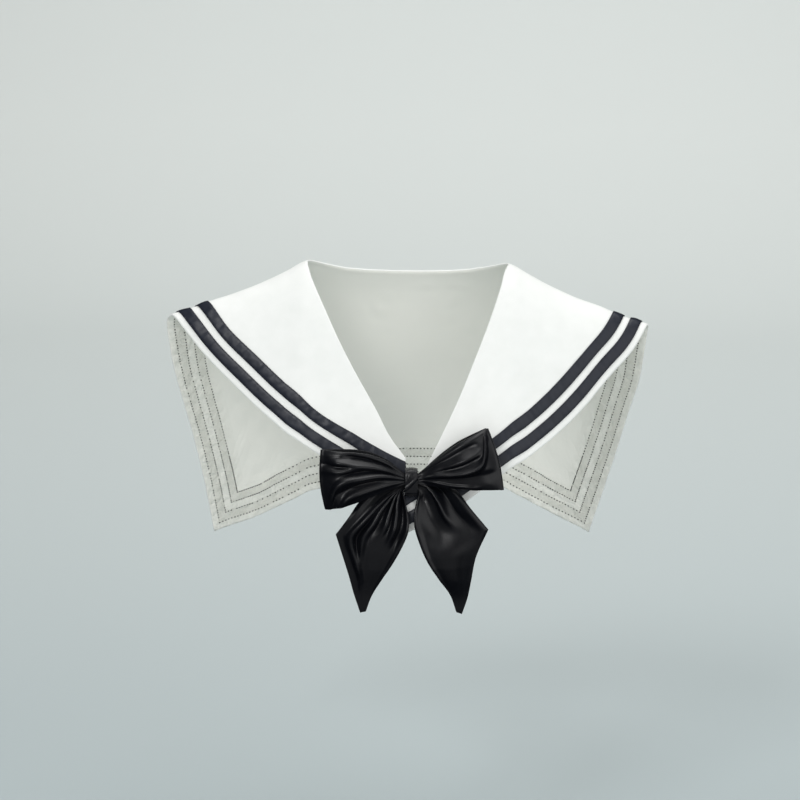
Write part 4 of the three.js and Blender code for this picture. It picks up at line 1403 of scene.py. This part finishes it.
@dataclass(frozen=True)
class SoftLight:
    """A square soft light, in metres and watts. Where gloss is off, the satin doesn't mirror it."""

    name: str
    place: tuple[float, float, float]
    aim: tuple[float, float, float]
    size: float
    power: float
    gloss: bool = True

    def build(self) -> None:
        """Adds the light and turns it to the point that it aims at."""
        data = bpy.data.lights.new(self.name, "AREA")
        data.size = self.size
        data.energy = self.power
        light = bpy.data.objects.new(self.name, data)
        bpy.context.scene.collection.objects.link(light)
        light.location = self.place
        light.visible_glossy = self.gloss
        way = Vector(self.aim) - Vector(self.place)
        light.rotation_euler = way.to_track_quat("-Z", "Y").to_euler()


LIGHTS = (
    SoftLight("key_light", (-1.3, -2.0, 2.2), (0, 0, -0.1), 0.9, 27.0),
    SoftLight("fill_light", (2.0, -1.8, 1.4), (0, 0, -0.1), 2.8, 26.8),
    SoftLight("low_light", (0.2, -2.4, -0.3), (0, -0.1, -0.25), 2.2, 3.6),
    SoftLight("bounce_light", (-0.1, -1.6, -0.5), (0, 0, -0.2), 2.4, 15.0, gloss=False),
    SoftLight("top_light", (0.0, 0.3, 2.2), (0, 0, 0), 1.8, 16.0),
    SoftLight("backdrop_light", (0.55, 1.2, 2.6), (0.4, 3.4, 0.2), 2.5, 38.5),
)


@dataclass
class Studio:
    """The floor and backdrop, the soft lights and the camera. Sizes are in metres."""

    distance: float = 2.2
    elevation: float = 12.0
    roll: float = 0.8
    origin_pixel: tuple[float, float] = (408.0, 264.0)
    frame_pixels: float = 800.0
    focal_pixels: float = 2200.0
    sensor: float = 36.0
    floor_height: float = -0.62
    floor_reach: float = 14.0
    floor_back: float = 2.2
    bend: float = 1.2
    wall_height: float = 6.0
    floor_grid: tuple[int, int] = (13, 24)
    room_colour: str = "F5F6F4"
    room_strength: float = 0.46
    mirrored_colour: str = "B9C2CC"
    mirrored_strength: float = 0.05

    def build_camera(self) -> None:
        """Sets the camera where the origin falls on its pixel, by turning and not by shift."""
        data = bpy.data.cameras.new("camera")
        data.sensor_width = self.sensor
        data.lens = self.sensor * self.focal_pixels / self.frame_pixels
        data.clip_end = 50.0
        camera = bpy.data.objects.new("camera", data)
        bpy.context.scene.collection.objects.link(camera)
        tilt = math.radians(self.elevation)
        place = Vector((0.0, -self.distance * math.cos(tilt), self.distance * math.sin(tilt)))
        middle = self.frame_pixels / 2
        right = (self.origin_pixel[0] - middle) / self.focal_pixels
        up = (middle - self.origin_pixel[1]) / self.focal_pixels
        turned = (
            (-place).to_track_quat("-Z", "Y").to_matrix()
            @ Matrix.Rotation(math.radians(self.roll), 3, "Z")
            @ Matrix.Rotation(-math.atan(up), 3, "X")
            @ Matrix.Rotation(math.atan(right), 3, "Y")
        )
        camera.matrix_world = Matrix.Translation(place) @ turned.to_4x4()
        bpy.context.scene.camera = camera

    def build_floor(self, paper: Material) -> None:
        """A pale floor that curves up into a backdrop."""
        turn = np.linspace(0, math.pi / 2, self.floor_grid[1])[1:]
        back, bend = self.floor_back, self.bend
        y = np.concatenate([[-self.floor_reach, back], back + bend * np.sin(turn), [back + bend]])
        z = np.concatenate([[0, 0], bend * (1 - np.cos(turn)), [self.wall_height]])
        x = np.linspace(-self.floor_reach, self.floor_reach, self.floor_grid[0])
        across, behind = np.meshgrid(x, y, indexing="ij")
        grid = np.stack([across, behind, np.tile(z + self.floor_height, (len(x), 1))], axis=-1)
        faces = quads_of_grid(len(x), len(y))
        floor = new_piece("studio_floor", grid.reshape(-1, 3) / MM, faces)
        floor.data.materials.append(paper)
        floor.visible_glossy = False

    def build_room(self) -> None:
        """The even light of the room, which the satin mirrors only faintly."""
        world = bpy.data.worlds.new("room")
        world.use_nodes = True
        tree = world.node_tree
        room = tree.nodes["Background"]
        room.inputs[0].default_value = linear(self.room_colour)
        room.inputs[1].default_value = self.room_strength
        inputs = {"Color": linear(self.mirrored_colour), "Strength": self.mirrored_strength}
        mirrored = add_node(tree, "Background", inputs)
        is_mirrored = add_node(tree, "LightPath", {}).outputs["Is Glossy Ray"]
        inputs = {0: is_mirrored, 1: room.outputs[0], 2: mirrored.outputs[0]}
        mixed = add_node(tree, "MixShader", inputs)
        tree.links.new(mixed.outputs[0], tree.nodes["World Output"].inputs["Surface"])
        bpy.context.scene.world = world

    def build(self, paper: Material) -> None:
        """Builds the camera, the floor of that paper, the lights and the room."""
        self.build_camera()
        self.build_floor(paper)
        for light in LIGHTS:
            light.build()
        self.build_room()
        bpy.context.scene.view_settings.view_transform = "Standard"
        LOG.info("studio: floor %.2f m below the origin", -self.floor_height)


def main() -> None:
    """Builds and dresses the collar, the bow and the studio in order."""
    palette = {
        "shirting": Shirting().build(),
        "underside": ShirtingUnderside().build(),
        "ribbon": Satin("ribbon_satin_blue_black", "151924", "1E2432", 0.42, 0.55).build(),
        "bow": Satin("bow_satin_black", "05060A", "090B11", 0.35, 0.45).build(),
        "thread": Plain("black_sewing_thread", "1B1C1F", 0.7).build(),
        "steel": Plain("nickel_plated_steel", "B8BCC0", 0.3, metallic=1.0).build(),
        "paper": Paper().build(),
    }
    collar = Collar()
    collar.dress(palette)
    Bow(collar).dress(palette)
    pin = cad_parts["bow_pin"]
    pin.data.materials.clear()
    pin.data.materials.append(palette["steel"])
    LOG.info("bow pin: CAD node kept, nickel-plated steel")
    Studio().build(palette["paper"])


if __name__ == "__main__":
    main()
